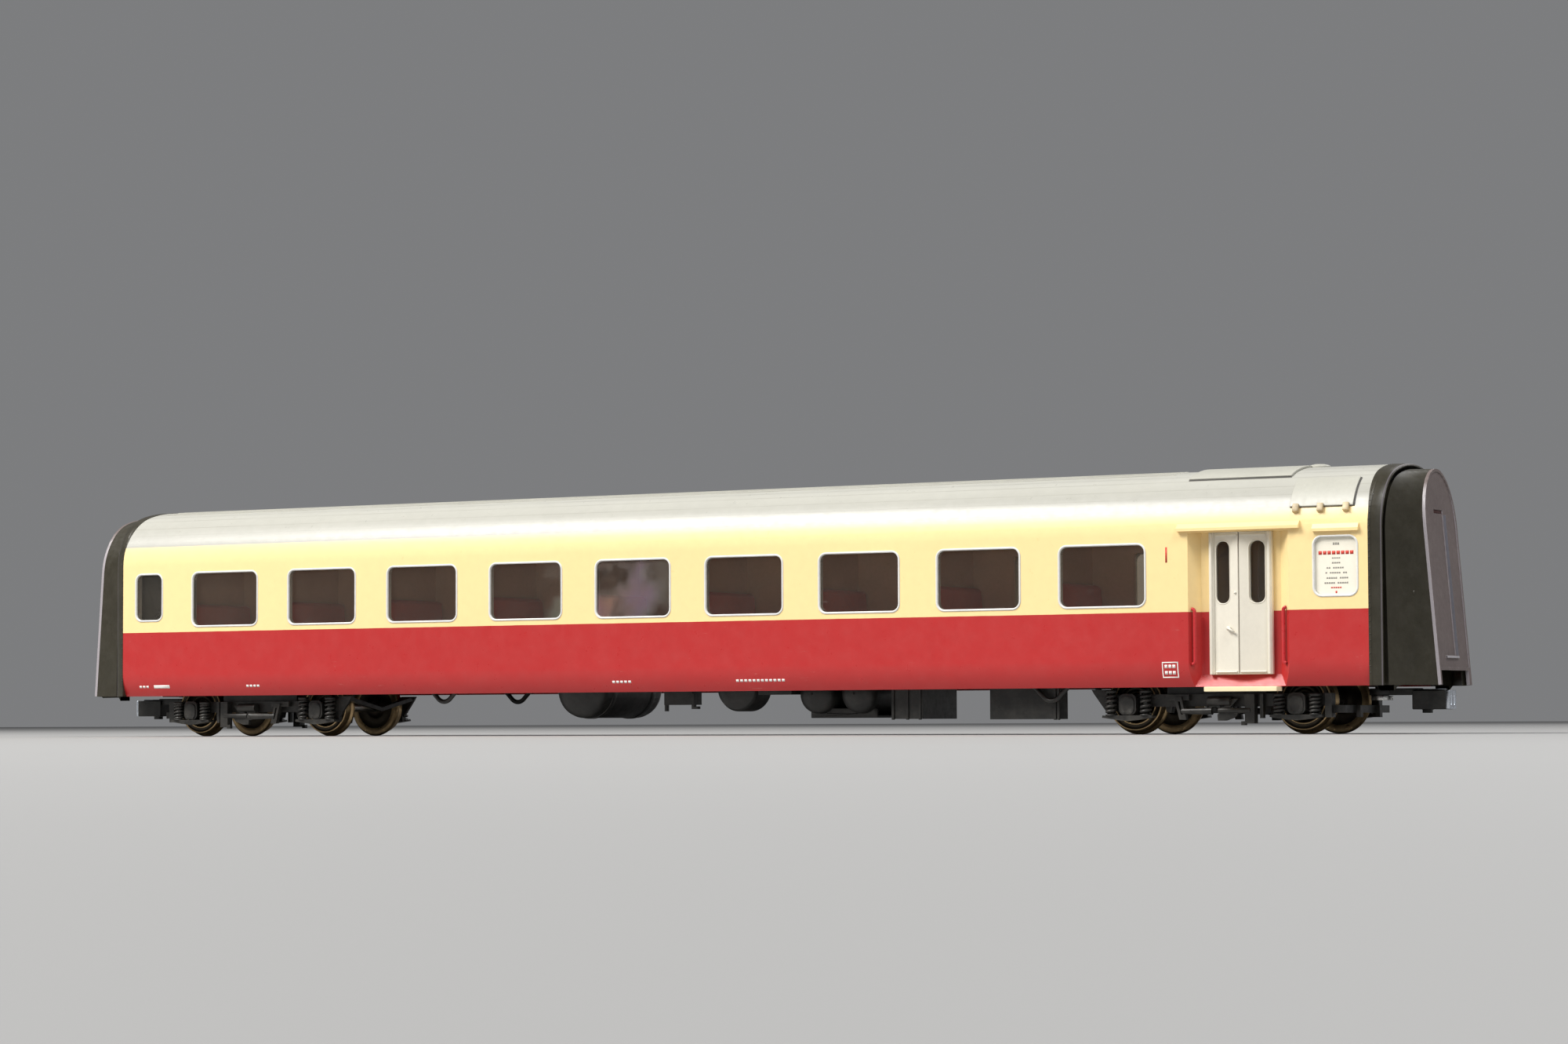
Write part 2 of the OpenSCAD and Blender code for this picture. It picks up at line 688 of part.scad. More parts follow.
module equipment_boxes() color([0.12, 0.12, 0.12]) {
    equipment_box(41.7, 48.2, 1.6, 2.95, [41.9, 44.9, 47.5]);
    equipment_box(62, 76.1, -8.9, 2.8, [74.9, 75.6]);
    equipment_box(-7.5, -1.3, -8.4, 5.8, []);
    block(-7.4, -7, -12, -11, 4.6, 5.9);
    block(-1.4, -0.9, -12, -11, 5, 8);
    block(-1.4, 0, -12, -11, 5, 5.5);
}

// Pipe that dips below the skirt: two legs at 45 degrees and a bend at the foot.
module pipe_dip(x, foot_z, y, r) {
    bend = 2;
    slant = 45;
    bend_z = foot_z + r + bend;
    leg = (chassis_z - r * sin(slant) - bend_z + bend * sin(slant)) / cos(slant);
    translate([x, y, bend_z]) {
        rotate([90, 0, 0]) rotate([0, 0, -90 - slant])
            rotate_extrude(angle = 2 * slant) translate([bend, 0]) circle(r = r);
        for (s = [-1, 1]) rotate([0, s * slant, 0]) translate([s * bend, 0, 0])
            cylinder(h = leg, r = r);
    }
}

module underfloor_pipes() color([0.1, 0.1, 0.1]) both_sides() {
    pipe_dip(-58, 6.3, -12.9, 0.45);
    pipe_dip(74.9, 5.6, -13.1, 0.45);
}

// ---------------------------------------------------------------- couplers

module coupler() {
    difference() {
        union() {
            translate([coupler_x, 0, drawbar_z]) cylinder(h = drawbar_t, r = 2.2);
            block(coupler_x, 139.6, -1.3, 1.3, drawbar_z, drawbar_z + drawbar_t);
            block(138.7, 144.8, -1.9, 1.9, 4.2, 7.45);
            block(140, 141.6, -0.6, 0.6, 3.6, 4.3);
            block(139.5, 144.2, -0.8, 0.8, 7.4, 7.7);
        }
        translate([coupler_x, 0, drawbar_z - 1]) cylinder(h = drawbar_t + 2, r = 1.2 + run_gap);
        block(143.8, 146, -1.2, 1.2, 5, 6.6);
    }
}

module coupler_front() color([0.1, 0.1, 0.1]) coupler();
module coupler_rear() color([0.1, 0.1, 0.1]) rear_end() coupler();

// Metal head with a tongue in the coupler's pocket and two contact slots in its face.
module coupler_face() {
    difference() {
        union() {
            block(144.8, 145.4, -1.7, 1.7, 4.25, 7.5);
            block(143.8, 144.9, -1.2, 1.2, 5, 6.6);
        }
        for (s = [-1, 1]) block(145.1, 146, s * 0.8 - 0.25, s * 0.8 + 0.25, 5, 6.8);
    }
}

module coupler_face_front() color("silver") coupler_face();
module coupler_face_rear() color("silver") rear_end() coupler_face();

// ---------------------------------------------------------------- bogies
// Each bogie part is drawn about its own pivot, with the outer axle towards +X.

module at_front() {
    translate([pivot_dist / 2, 0, 0]) children();
}

module bogie_frame() {
    difference() {
        union() {
            block(-9.4, 9.4, -beam_in - 0.1, beam_in + 0.1, bolster_z, bolster_top);
            both_sides() {
                block(-post_in, post_x, -beam_out, -beam_in, beam_z, beam_top);
                for (s = [-1, 1]) crossways(-beam_out, -beam_in)
                    polygon([for (p = [[12.6, 5], [13.4, 3.9], [18.6, 3.9], [19.4, 5], [19.4, 7],
                        [12.6, 7]]) [s * p[0], p[1]]]);
                block(post_x - 0.6, post_x + 0.6, -12.1, -beam_in, post_foot, beam_top);
                block(-post_in - 0.5, -post_in + 0.4, -11.25, -beam_in, post_foot, high_top);
                crossways(-11.2, -10.6) polygon([[-post_in, 3.1], [0.35 - post_in, 3.1],
                    [-post_in, high_top + 0.1], [-23.8, high_top + 0.1], [-23.3, 7.2]]);
                block(post_x, 24, -10.9, -10.1, 3.7, 5);
                block(-23.2, -post_in, -10.9, -10.1, high_top - 0.8, high_top);
            }
            block(23, 24, -10.2, 10.2, 3.7, 5);
            lengthways(-23.2, -22.2) polygon([[-10.5, high_top], [-10.5, high_top - 0.8], [0, 5],
                [10.5, high_top - 0.8], [10.5, high_top], [0, 5.8]]);
        }
        for (s = [-1, 1]) translate([s * wheelbase / 2, 20, axle_z]) rotate([90, 0, 0])
            cylinder(h = 40, r = journal_r + run_gap);
        translate([0, 0, bolster_z - 1]) cylinder(h = 4, r = shoulder_r + run_gap);
    }
}

// Rounded bearing housings over the journals, with two cover bolts each.
module axleboxes() {
    for (s = [-1, 1]) both_sides() difference() {
        union() {
            crossways(-box_out, -beam_out) translate([s * wheelbase / 2, 5.35])
                polygon(round_rect(3.3, 3.7, 1));
            crossways(-box_out - 0.25, 0.1 - box_out) translate([s * wheelbase / 2, 5.15])
                polygon(round_rect(2.6, 3.1, 1));
            for (b = [-0.65, 0.65]) translate([s * wheelbase / 2 + b, 0.2 - box_out, 3.85])
                rotate([90, 0, 0]) cylinder(h = 0.5, r = 0.26);
        }
        translate([s * wheelbase / 2, 0.95 - box_out, axle_z]) rotate([-90, 0, 0])
            cylinder(h = 3, r = journal_r + run_gap);
    }
}

module coil_springs() {
    for (s = [-1, 1]) for (d = [-3.35, 3.35]) both_sides() {
        top = s > 0 ? beam_top : high_top;
        translate([s * wheelbase / 2 + d, -spring_y, spring_foot])
            coil(spring_r, 0.32, top - spring_foot - 0.4, 5, 0.3);
        translate([s * wheelbase / 2 + d, -spring_y, top - 0.4 - eps]) cylinder(h = 0.4 + eps, r = spring_r - 0.05);
    }
}

// Swing links, lengthwise dampers and the carriers under the coil springs.
module bogie_links() {
    both_sides() {
        for (s = [-1, 1]) crossways(-13.1, -beam_out) translate([s * wheelbase / 2, 0])
            polygon([[-4.8, 3.4], [-4.9, 3], [-2, 2.6], [0, 2.4], [2, 2.6], [4.9, 3], [4.8, 3.4]]);
        crossways(-12.9, -11.9) difference() {
            polygon([[-7, 6.6], [-5.6, 6.6], [-4.7, 2.6], [-6, 2.6]]);
            polygon([[-6.3, 5.8], [-5.9, 5.8], [-5.3, 3.5], [-5.7, 3.5]]);
        }
        block(-8.8, -4.4, -12.3, -beam_out, 6, 7);
        translate([-5.6, -12.6, 4.1]) rotate([0, 90, 0]) cylinder(h = 6.4, r1 = 0.5, r2 = 0.7);
        translate([0.6, -12.6, 4.1]) sphere(r = 0.8);
        block(-0.4, 1.6, -12.6, -beam_out, 3.7, 5.6);
        translate([-0.6, -12.4, 5.8]) rotate([0, 90, 0]) cylinder(h = 4.2, r = 0.85);
        block(0, 3, -12.4, -beam_out, 5.2, 6.5);
        translate([1.4, -12.6, 4.2]) rotate([0, 90, 0]) cylinder(h = 6, r = 0.5);
        crossways(-12.6, -11.8) polygon([[1.2, 2.4], [2.6, 2.4], [4.6, 3.1], [5.4, 4.2], [3.4, 4.6],
            [5, 6.2], [3.8, 6.2], [2.4, 4.9], [1, 4.4]]);
        block(6.4, 8.2, -12.9, -beam_out, 1.9, 7);
        block(5.7, 6.5, -12.9, -12.1, 1.6, 2.3);
        block(9, 9.6, -12.3, -beam_out, 2.8, 7);
    }
}

// Brake blocks beside the wheel treads and their hangers at the outer end.
module brake_gear() {
    both_sides() for (s = [-1, 1]) {
        crossways(-9.7, -8.3) polygon([for (p = [[8, 6.6], [9.9, 6.6], [10.2, 5.7], [9.9, 4],
            [9, 3.8], [8.6, 5.4]]) [s * p[0], p[1]]]);
        block(s > 0 ? 8.2 : -8.8, s > 0 ? 8.8 : -8.2, -8.4, eps, 5.5, 6.1);
    }
    both_sides() block(24, 24.8, -5.2, -4, 2.9, 5);
}

module bogie_frame_front() color([0.1, 0.1, 0.1]) at_front() bogie_frame();
module bogie_frame_rear() color([0.1, 0.1, 0.1]) rear_end() at_front() bogie_frame();
module axleboxes_front() color([0.15, 0.15, 0.13]) at_front() axleboxes();
module axleboxes_rear() color([0.15, 0.15, 0.13]) rear_end() at_front() axleboxes();
module coil_springs_front() color([0.15, 0.15, 0.14]) at_front() coil_springs();
module coil_springs_rear() color([0.15, 0.15, 0.14]) rear_end() at_front() coil_springs();
module bogie_links_front() color([0.14, 0.14, 0.13]) at_front() bogie_links();
module bogie_links_rear() color([0.14, 0.14, 0.13]) rear_end() at_front() bogie_links();
module brake_gear_front() color([0.12, 0.12, 0.12]) at_front() brake_gear();
module brake_gear_rear() color([0.12, 0.12, 0.12]) rear_end() at_front() brake_gear();

// ---------------------------------------------------------------- wheelsets

// Section of one wheel: radius across, then distance out from the inner face.
module wheel() {
    rotate_extrude() polygon([[0.95, 0], [2.2, 0], [2.2, 0.4], [4.2, 0.5], [4.3, 0], [flange_r - 0.3, 0],
        [flange_r, 0.3], [flange_r, 0.5], [flange_r - 0.15, 0.75], [tread_r + 0.05, 0.9],
        [tread_r - 0.05, 2.3], [tread_r - 0.2, 2.5], [4, 2.5], [3.85, 2], [3.3, 1.5],
        [2.9, 1.5], [2.7, 2.1], [2.1, 2.1], [2, 1.7], [1.3, 1.7], [1.3, 2.3], [0.95, 2.3]]);
}

module wheels() {
    both_sides() translate([0, -back_to_back / 2, axle_z]) rotate([90, 0, 0]) wheel();
}

module axle() {
    translate([0, 0, axle_z]) rotate([90, 0, 0]) rotate_extrude() polygon([[0, -11.8], [0.3, -11.8],
        [journal_r, -11.4], [journal_r, -9.6], [0.95, -9.4], [0.95, 9.4], [journal_r, 9.6],
        [journal_r, 11.4], [0.3, 11.8], [0, 11.8]]);
}

module at_axle(side, end) {
    translate([side * (pivot_dist / 2 + end * wheelbase / 2), 0, 0]) children();
}

module wheels_front_outer() color([0.3, 0.26, 0.2]) at_axle(1, 1) wheels();
module wheels_front_inner() color([0.3, 0.26, 0.2]) at_axle(1, -1) wheels();
module wheels_rear_inner() color([0.3, 0.26, 0.2]) at_axle(-1, -1) wheels();
module wheels_rear_outer() color([0.3, 0.26, 0.2]) at_axle(-1, 1) wheels();
module axle_front_outer() color("silver") at_axle(1, 1) axle();
module axle_front_inner() color("silver") at_axle(1, -1) axle();
module axle_rear_inner() color("silver") at_axle(-1, -1) axle();
module axle_rear_outer() color("silver") at_axle(-1, 1) axle();

body_shell();
window_frames_left();
window_frames_right();
glazing_left();
glazing_right();
destination_boards();
door_left();
door_right();
door_glazing();
door_handles();
grab_rails();
footsteps();
roof_long_hatch();
roof_side_hatches();
hatch_latches();
roof_dome();
end_ring_front();
end_ring_rear();
chassis();
ballast_weight();
interior_floor();
compartment_walls();
seats();
main_tank();
air_reservoirs();
air_compressor();
equipment_boxes();
underfloor_pipes();
bogie_pivot_screws();
coupler_pivot_screws();
chassis_screws();
gangway_shell_front();
gangway_plate_front();
gangway_springs_front();
gangway_shell_rear();
gangway_plate_rear();
gangway_springs_rear();
coupler_front();
coupler_face_front();
coupler_rear();
coupler_face_rear();
bogie_frame_front();
axleboxes_front();
coil_springs_front();
bogie_links_front();
brake_gear_front();
bogie_frame_rear();
axleboxes_rear();
coil_springs_rear();
bogie_links_rear();
brake_gear_rear();
wheels_front_outer();
axle_front_outer();
wheels_front_inner();
axle_front_inner();
wheels_rear_inner();
axle_rear_inner();
wheels_rear_outer();
axle_rear_outer();
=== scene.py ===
"""Looks of the model passenger coach: pieces, materials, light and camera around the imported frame."""
import math

import bmesh
import bpy
from mathutils import Matrix, Vector


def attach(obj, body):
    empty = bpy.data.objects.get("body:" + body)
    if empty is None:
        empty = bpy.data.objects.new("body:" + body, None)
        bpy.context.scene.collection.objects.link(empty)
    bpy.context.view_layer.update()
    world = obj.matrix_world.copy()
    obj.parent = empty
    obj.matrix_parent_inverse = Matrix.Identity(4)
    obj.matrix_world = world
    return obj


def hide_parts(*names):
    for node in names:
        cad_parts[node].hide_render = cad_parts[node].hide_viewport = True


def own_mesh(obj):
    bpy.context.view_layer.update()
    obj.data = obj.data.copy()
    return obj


MM = 0.001
ENDS = (("front", 1), ("rear", -1))
SIDES = (("right", -1), ("left", 1))

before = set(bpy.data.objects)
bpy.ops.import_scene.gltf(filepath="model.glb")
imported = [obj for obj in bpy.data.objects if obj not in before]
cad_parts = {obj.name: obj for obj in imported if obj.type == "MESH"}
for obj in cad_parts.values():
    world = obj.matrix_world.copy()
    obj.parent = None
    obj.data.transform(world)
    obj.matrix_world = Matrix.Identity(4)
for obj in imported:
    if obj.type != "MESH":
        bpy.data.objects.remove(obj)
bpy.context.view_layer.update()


# ---------------------------------------------------------------- camera, light, floor

def make_camera():
    """Low three-quarter view of the entrance end, slightly upwards, as the coach was seen."""
    azimuth, elevation, roll = math.radians(30.07), math.radians(-3.09), math.radians(-0.236)
    back = Vector((math.sin(azimuth) * math.cos(elevation), -math.cos(azimuth) * math.cos(elevation),
                   math.sin(elevation)))
    right = Vector((math.cos(azimuth), math.sin(azimuth), 0))
    up = back.cross(right)
    rolled_right = math.cos(roll) * right + math.sin(roll) * up
    rolled_up = math.cos(roll) * up - math.sin(roll) * right
    data = bpy.data.cameras.new("camera")
    data.lens = 85
    data.sensor_width = 36
    data.clip_start = 0.01
    data.clip_end = 50
    camera = bpy.data.objects.new("camera", data)
    bpy.context.scene.collection.objects.link(camera)
    turn = Matrix((rolled_right, rolled_up, back)).transposed().to_4x4()
    camera.matrix_world = Matrix.Translation(Vector((366.2, -611.6, 2.49)) * MM) @ turn
    bpy.context.scene.camera = camera


def area_light(name, place, target, size, power, colour=(1, 1, 1)):
    """Soft rectangular lamp in metres and watts, aimed at a point."""
    data = bpy.data.lights.new(name, "AREA")
    data.shape = "RECTANGLE"
    data.size, data.size_y = size
    data.energy = power
    data.color = colour
    lamp = bpy.data.objects.new(name, data)
    bpy.context.scene.collection.objects.link(lamp)
    lamp.location = place
    lamp.rotation_euler = (Vector(target) - Vector(place)).to_track_quat("-Z", "Y").to_euler()


def make_lights():
    """Warm key light, weak cool fill, rim light behind, and a small one over the entrance end's roof."""
    area_light("key_light", (-0.5, -0.66, 0.92), (-0.02, 0, 0.02), (0.8, 0.45), 22, (1, 0.98, 0.945))
    area_light("fill_light", (0.9, -0.7, 0.45), (0.05, 0, 0.02), (0.7, 0.7), 1.0, (0.93, 0.96, 1))
    area_light("rim_light", (0.35, 0.9, 0.8), (0, 0, 0.03), (1.0, 0.5), 3)
    area_light("top_light", (0.55, -0.3, 0.7), (0.13, 0, 0.04), (0.24, 0.2), 3)
    world = bpy.data.worlds.new("studio")
    bpy.context.scene.world = world
    world.use_nodes = True
    world.node_tree.nodes["Background"].inputs["Color"].default_value = (0.78, 0.79, 0.81, 1)
    world.node_tree.nodes["Background"].inputs["Strength"].default_value = 0.26
    bpy.context.scene.view_settings.view_transform = "Standard"


# ---------------------------------------------------------------- material building

class Look:
    """One procedural material: a Principled shader with nodes wired to its sockets."""

    def __init__(self, name, colour, roughness=0.5, metallic=0.0, specular=0.5):
        self.material = bpy.data.materials.new(name)
        self.material.use_nodes = True
        self.tree = self.material.node_tree
        self.shader = self.tree.nodes["Principled BSDF"]
        self.colour = (*colour, 1)
        self.shader.inputs["Base Color"].default_value = self.colour
        self.shader.inputs["Roughness"].default_value = roughness
        self.shader.inputs["Metallic"].default_value = metallic
        self.shader.inputs["Specular IOR Level"].default_value = specular
        self.place = self.tree.nodes.new("ShaderNodeTexCoord").outputs["Object"]
        self.height = None
        self.colour_out = None

    def put(self, node, socket, value):
        if hasattr(value, "is_linked"):
            self.tree.links.new(value, node.inputs[socket])
        else:
            node.inputs[socket].default_value = value

    def stretched(self, scale):
        node = self.tree.nodes.new("ShaderNodeMapping")
        self.put(node, "Vector", self.place)
        node.inputs["Scale"].default_value = scale
        return node.outputs["Vector"]

    def noise(self, per_mm, detail=3.0, roughness=0.55, stretch=(1, 1, 1)):
        node = self.tree.nodes.new("ShaderNodeTexNoise")
        self.put(node, "Vector", self.stretched(stretch))
        node.inputs["Scale"].default_value = per_mm / MM
        node.inputs["Detail"].default_value = detail
        node.inputs["Roughness"].default_value = roughness
        return node.outputs["Fac"]

    def cells(self, per_mm, stretch=(1, 1, 1)):
        node = self.tree.nodes.new("ShaderNodeTexVoronoi")
        self.put(node, "Vector", self.stretched(stretch))
        node.inputs["Scale"].default_value = per_mm / MM
        return node.outputs["Distance"]

    def calc(self, operation, first, second=0.0, clamp=False):
        node = self.tree.nodes.new("ShaderNodeMath")
        node.operation = operation
        node.use_clamp = clamp
        self.put(node, 0, first)
        self.put(node, 1, second)
        return node.outputs[0]

    def band(self, value, low, high, start=0.0, end=1.0):
        """Rises from start to end as value goes from low to high, and is flat outside."""
        node = self.tree.nodes.new("ShaderNodeMapRange")
        node.clamp = True
        self.put(node, "Value", value)
        for socket, number in (("From Min", low), ("From Max", high), ("To Min", start), ("To Max", end)):
            self.put(node, socket, number)
        return node.outputs["Result"]

    def blend(self, factor, first, second, mode="MIX"):
        node = self.tree.nodes.new("ShaderNodeMix")
        node.data_type = "RGBA"
        node.blend_type = mode
        self.put(node, 0, factor)
        for index, colour in ((6, first), (7, second)):
            if not hasattr(colour, "is_linked") and len(colour) == 3:
                colour = (*colour, 1)
            self.put(node, index, colour)
        return node.outputs[2]

    def axis(self, name):
        node = self.tree.nodes.new("ShaderNodeSeparateXYZ")
        self.put(node, 0, self.place)
        return self.calc("MULTIPLY", node.outputs[name], 1 / MM)

    def facing(self, direction):
        """How far the surface looks along a fixed direction of the object."""
        normal = self.tree.nodes.new("ShaderNodeNewGeometry").outputs["Normal"]
        node = self.tree.nodes.new("ShaderNodeVectorMath")
        node.operation = "DOT_PRODUCT"
        self.put(node, 0, normal)
        node.inputs[1].default_value = direction
        return node.outputs["Value"]

    def edges(self, radius_mm, low=0.02, high=0.25):
        """1 near sharp edges and 0 on open surfaces."""
        soft = self.tree.nodes.new("ShaderNodeBevel")
        soft.samples = 4
        soft.inputs["Radius"].default_value = radius_mm * MM
        normal = self.tree.nodes.new("ShaderNodeNewGeometry").outputs["Normal"]
        node = self.tree.nodes.new("ShaderNodeVectorMath")
        node.operation = "DOT_PRODUCT"
        self.put(node, 0, soft.outputs["Normal"])
        self.put(node, 1, normal)
        return self.band(self.calc("SUBTRACT", 1.0, node.outputs["Value"]), low, high)

    def current(self):
        return self.colour_out if self.colour_out is not None else self.colour

    def vary(self, per_mm, amount, detail=4.0, stretch=(1, 1, 1)):
        """Lightens and darkens the colour a little with noise."""
        shade = self.band(self.noise(per_mm, detail, stretch=stretch), 0.3, 0.7, 1 - amount, 1 + amount)
        node = self.tree.nodes.new("ShaderNodeCombineColor")
        for channel in range(3):
            self.put(node, channel, shade)
        self.colour_out = self.blend(1.0, self.current(), node.outputs[0], "MULTIPLY")
        return self

    def over(self, mask, colour):
        self.colour_out = self.blend(mask, self.current(), colour)
        return self

    def dust(self, amount, colour=(0.42, 0.39, 0.34), per_mm=0.35, upward=0.5):
        """Fine dust that gathers in patches and on surfaces that look up, with single specks."""
        patches = self.band(self.noise(per_mm, 6, 0.65), 0.42, 0.75)
        up = self.band(self.facing((0, 0, 1)), -0.3, 1.0, 1 - upward, 1.0)
        film = self.calc("MULTIPLY", self.calc("MULTIPLY", patches, up), amount, True)
        self.over(film, colour)
        specks = self.band(self.cells(1.4), 0.035, 0.075, 1.0, 0.0)
        keep = self.band(self.noise(0.5, 2), 0.52, 0.6)
        self.over(self.calc("MULTIPLY", self.calc("MULTIPLY", specks, keep), min(1.0, amount * 2.5)), colour)
        return self

    # Tints edges in patches: worn edges on most parts, painted highlight on the ring lip, plate rib and
    # ledge, painted shadow on the latches
    def edge_wear_and_light(self, radius_mm, colour, amount=0.6):
        rubbed_and_lit_edges = self.calc("MULTIPLY", self.edges(radius_mm), self.band(self.noise(1.2, 4), 0.45, 0.62))
        self.over(self.calc("MULTIPLY", rubbed_and_lit_edges, amount), colour)
        return self

    def rough(self, low, high, per_mm=0.8, stretch=(1, 1, 1)):
        self.put(self.shader, "Roughness",
                 self.band(self.noise(per_mm, 5, 0.6, stretch), 0.3, 0.7, low, high))
        return self

    def bump(self, height_mm, per_mm, detail=3.0, stretch=(1, 1, 1)):
        node = self.tree.nodes.new("ShaderNodeBump")
        node.inputs["Strength"].default_value = 1.0
        node.inputs["Distance"].default_value = height_mm * MM
        self.put(node, "Height", self.noise(per_mm, detail, stretch=stretch))
        if self.height is not None:
            self.put(node, "Normal", self.height)
        self.height = node.outputs["Normal"]
        return self

    def done(self):
        if self.colour_out is not None:
            self.put(self.shader, "Base Color", self.colour_out)
        if self.height is not None:
            self.put(self.shader, "Normal", self.height)
        return self.material


CREAM = (0.93, 0.71, 0.345)
RED = (0.455, 0.024, 0.024)
# painted shade: a darker grey for the roof's edge than for its top, where the key light falls strongest
ROOF_EDGE_SHADE_GREY = (0.37, 0.365, 0.325)
ROOF_TOP_GREY = (0.5, 0.495, 0.445)
BELT_Z = 21.4
ROOF_EDGE_Z = 39.0
# painted shade: heights of the dark lines along the roof's ribs
ROOF_RIB_SHADE_LINES = (39.8, 41.4, 42.9, 44.5, 45.4, 46.1, 46.5)


def body_paint():
    """Cream above red with a light grey roof, split by height, as sprayed on the moulded shell. Painted shade
    darkens the roof's edge and draws dark lines along its ribs.
    """
    look = Look("body_paint", CREAM, 0.32, specular=0.5)
    z = look.axis("Z")
    drift = look.band(look.noise(0.25, 2), 0.3, 0.7, -0.015, 0.015)
    level = look.calc("ADD", z, drift)
    look.over(look.band(level, BELT_Z - 0.03, BELT_Z + 0.03, 1.0, 0.0), RED)
    # painted shade: the roof's edge band is painted darker than its top
    look.over(look.band(level, ROOF_EDGE_Z - 0.03, ROOF_EDGE_Z + 0.05), ROOF_EDGE_SHADE_GREY)
    look.over(look.band(z, 41, 45.5), ROOF_TOP_GREY)
    # painted shade: dark thin lines along the roof's ribs, broken up by streaks
    rib_shade_lines = None
    for height in ROOF_RIB_SHADE_LINES:
        line = look.band(look.calc("ABSOLUTE", look.calc("SUBTRACT", z, height)), 0.03, 0.09, 1.0, 0.0)
        rib_shade_lines = line if rib_shade_lines is None else look.calc("MAXIMUM", rib_shade_lines, line)
    streaks = look.band(look.noise(0.05, 3, stretch=(1, 1, 9)), 0.3, 0.7, 0.15, 0.6)
    look.over(look.calc("MULTIPLY", rib_shade_lines, streaks), (0.3, 0.29, 0.25))
    look.vary(0.02, 0.03, 3).vary(0.6, 0.02, 5)
    soot = look.calc("MULTIPLY", look.band(z, 39.2, 46, 0.0, 0.3), look.band(look.noise(0.12, 6), 0.45, 0.75))
    look.over(soot, (0.42, 0.41, 0.36))
    chips = look.calc("MULTIPLY", look.band(look.cells(0.11), 0.01, 0.022, 0.8, 0.0),
                      look.band(look.noise(0.9, 3), 0.5, 0.56))
    look.over(chips, (0.9, 0.78, 0.66))
    scuffs = look.calc("MULTIPLY", look.band(look.noise(0.3, 7, 0.7, (1, 1, 7)), 0.62, 0.7),
                       look.band(look.noise(0.06, 3), 0.5, 0.62, 0.0, 0.16))
    look.over(scuffs, (0.85, 0.72, 0.62))
    look.dust(0.03, (0.75, 0.72, 0.66), 0.25, 0.6)
    look.rough(0.27, 0.38, 0.7)
    look.bump(0.01, 1.3, 2).bump(0.02, 0.05, 2)
    return look.done()


def simple_plastic(name, colour, roughness, dust=0.05, edge_wear_and_light_colour=None, bump=0.01, vary=0.05, specular=0.45):
    """Moulded plastic with uneven colour, fine grain, dust, and edges tinted where a colour is given: worn
    edges, and painted highlight and shadow on a few parts.
    """
    look = Look(name, colour, roughness, specular=specular)
    look.vary(0.15, vary).vary(1.5, vary * 0.6)
    if edge_wear_and_light_colour:
        look.edge_wear_and_light(0.25, edge_wear_and_light_colour)
    if dust:
        look.dust(dust)
    look.rough(max(0.05, roughness - 0.07), roughness + 0.1, 1.1)
    look.bump(bump, 2.5, 4)
    return look.done()


def metal(name, colour, roughness, stretch=(1, 1, 1), dark=(0.05, 0.045, 0.04), grime=0.4):
    """Bare metal with drawn or turned streaks and dark grime."""
    look = Look(name, colour, roughness, metallic=1.0)
    look.vary(0.8, 0.12, 5, stretch)
    look.over(look.band(look.noise(0.9, 6), 0.5, 0.75, 0.0, grime), dark)
    look.rough(roughness - 0.08, roughness + 0.15, 2.0, stretch)
    look.bump(0.008, 3, 4, stretch)
    return look.done()


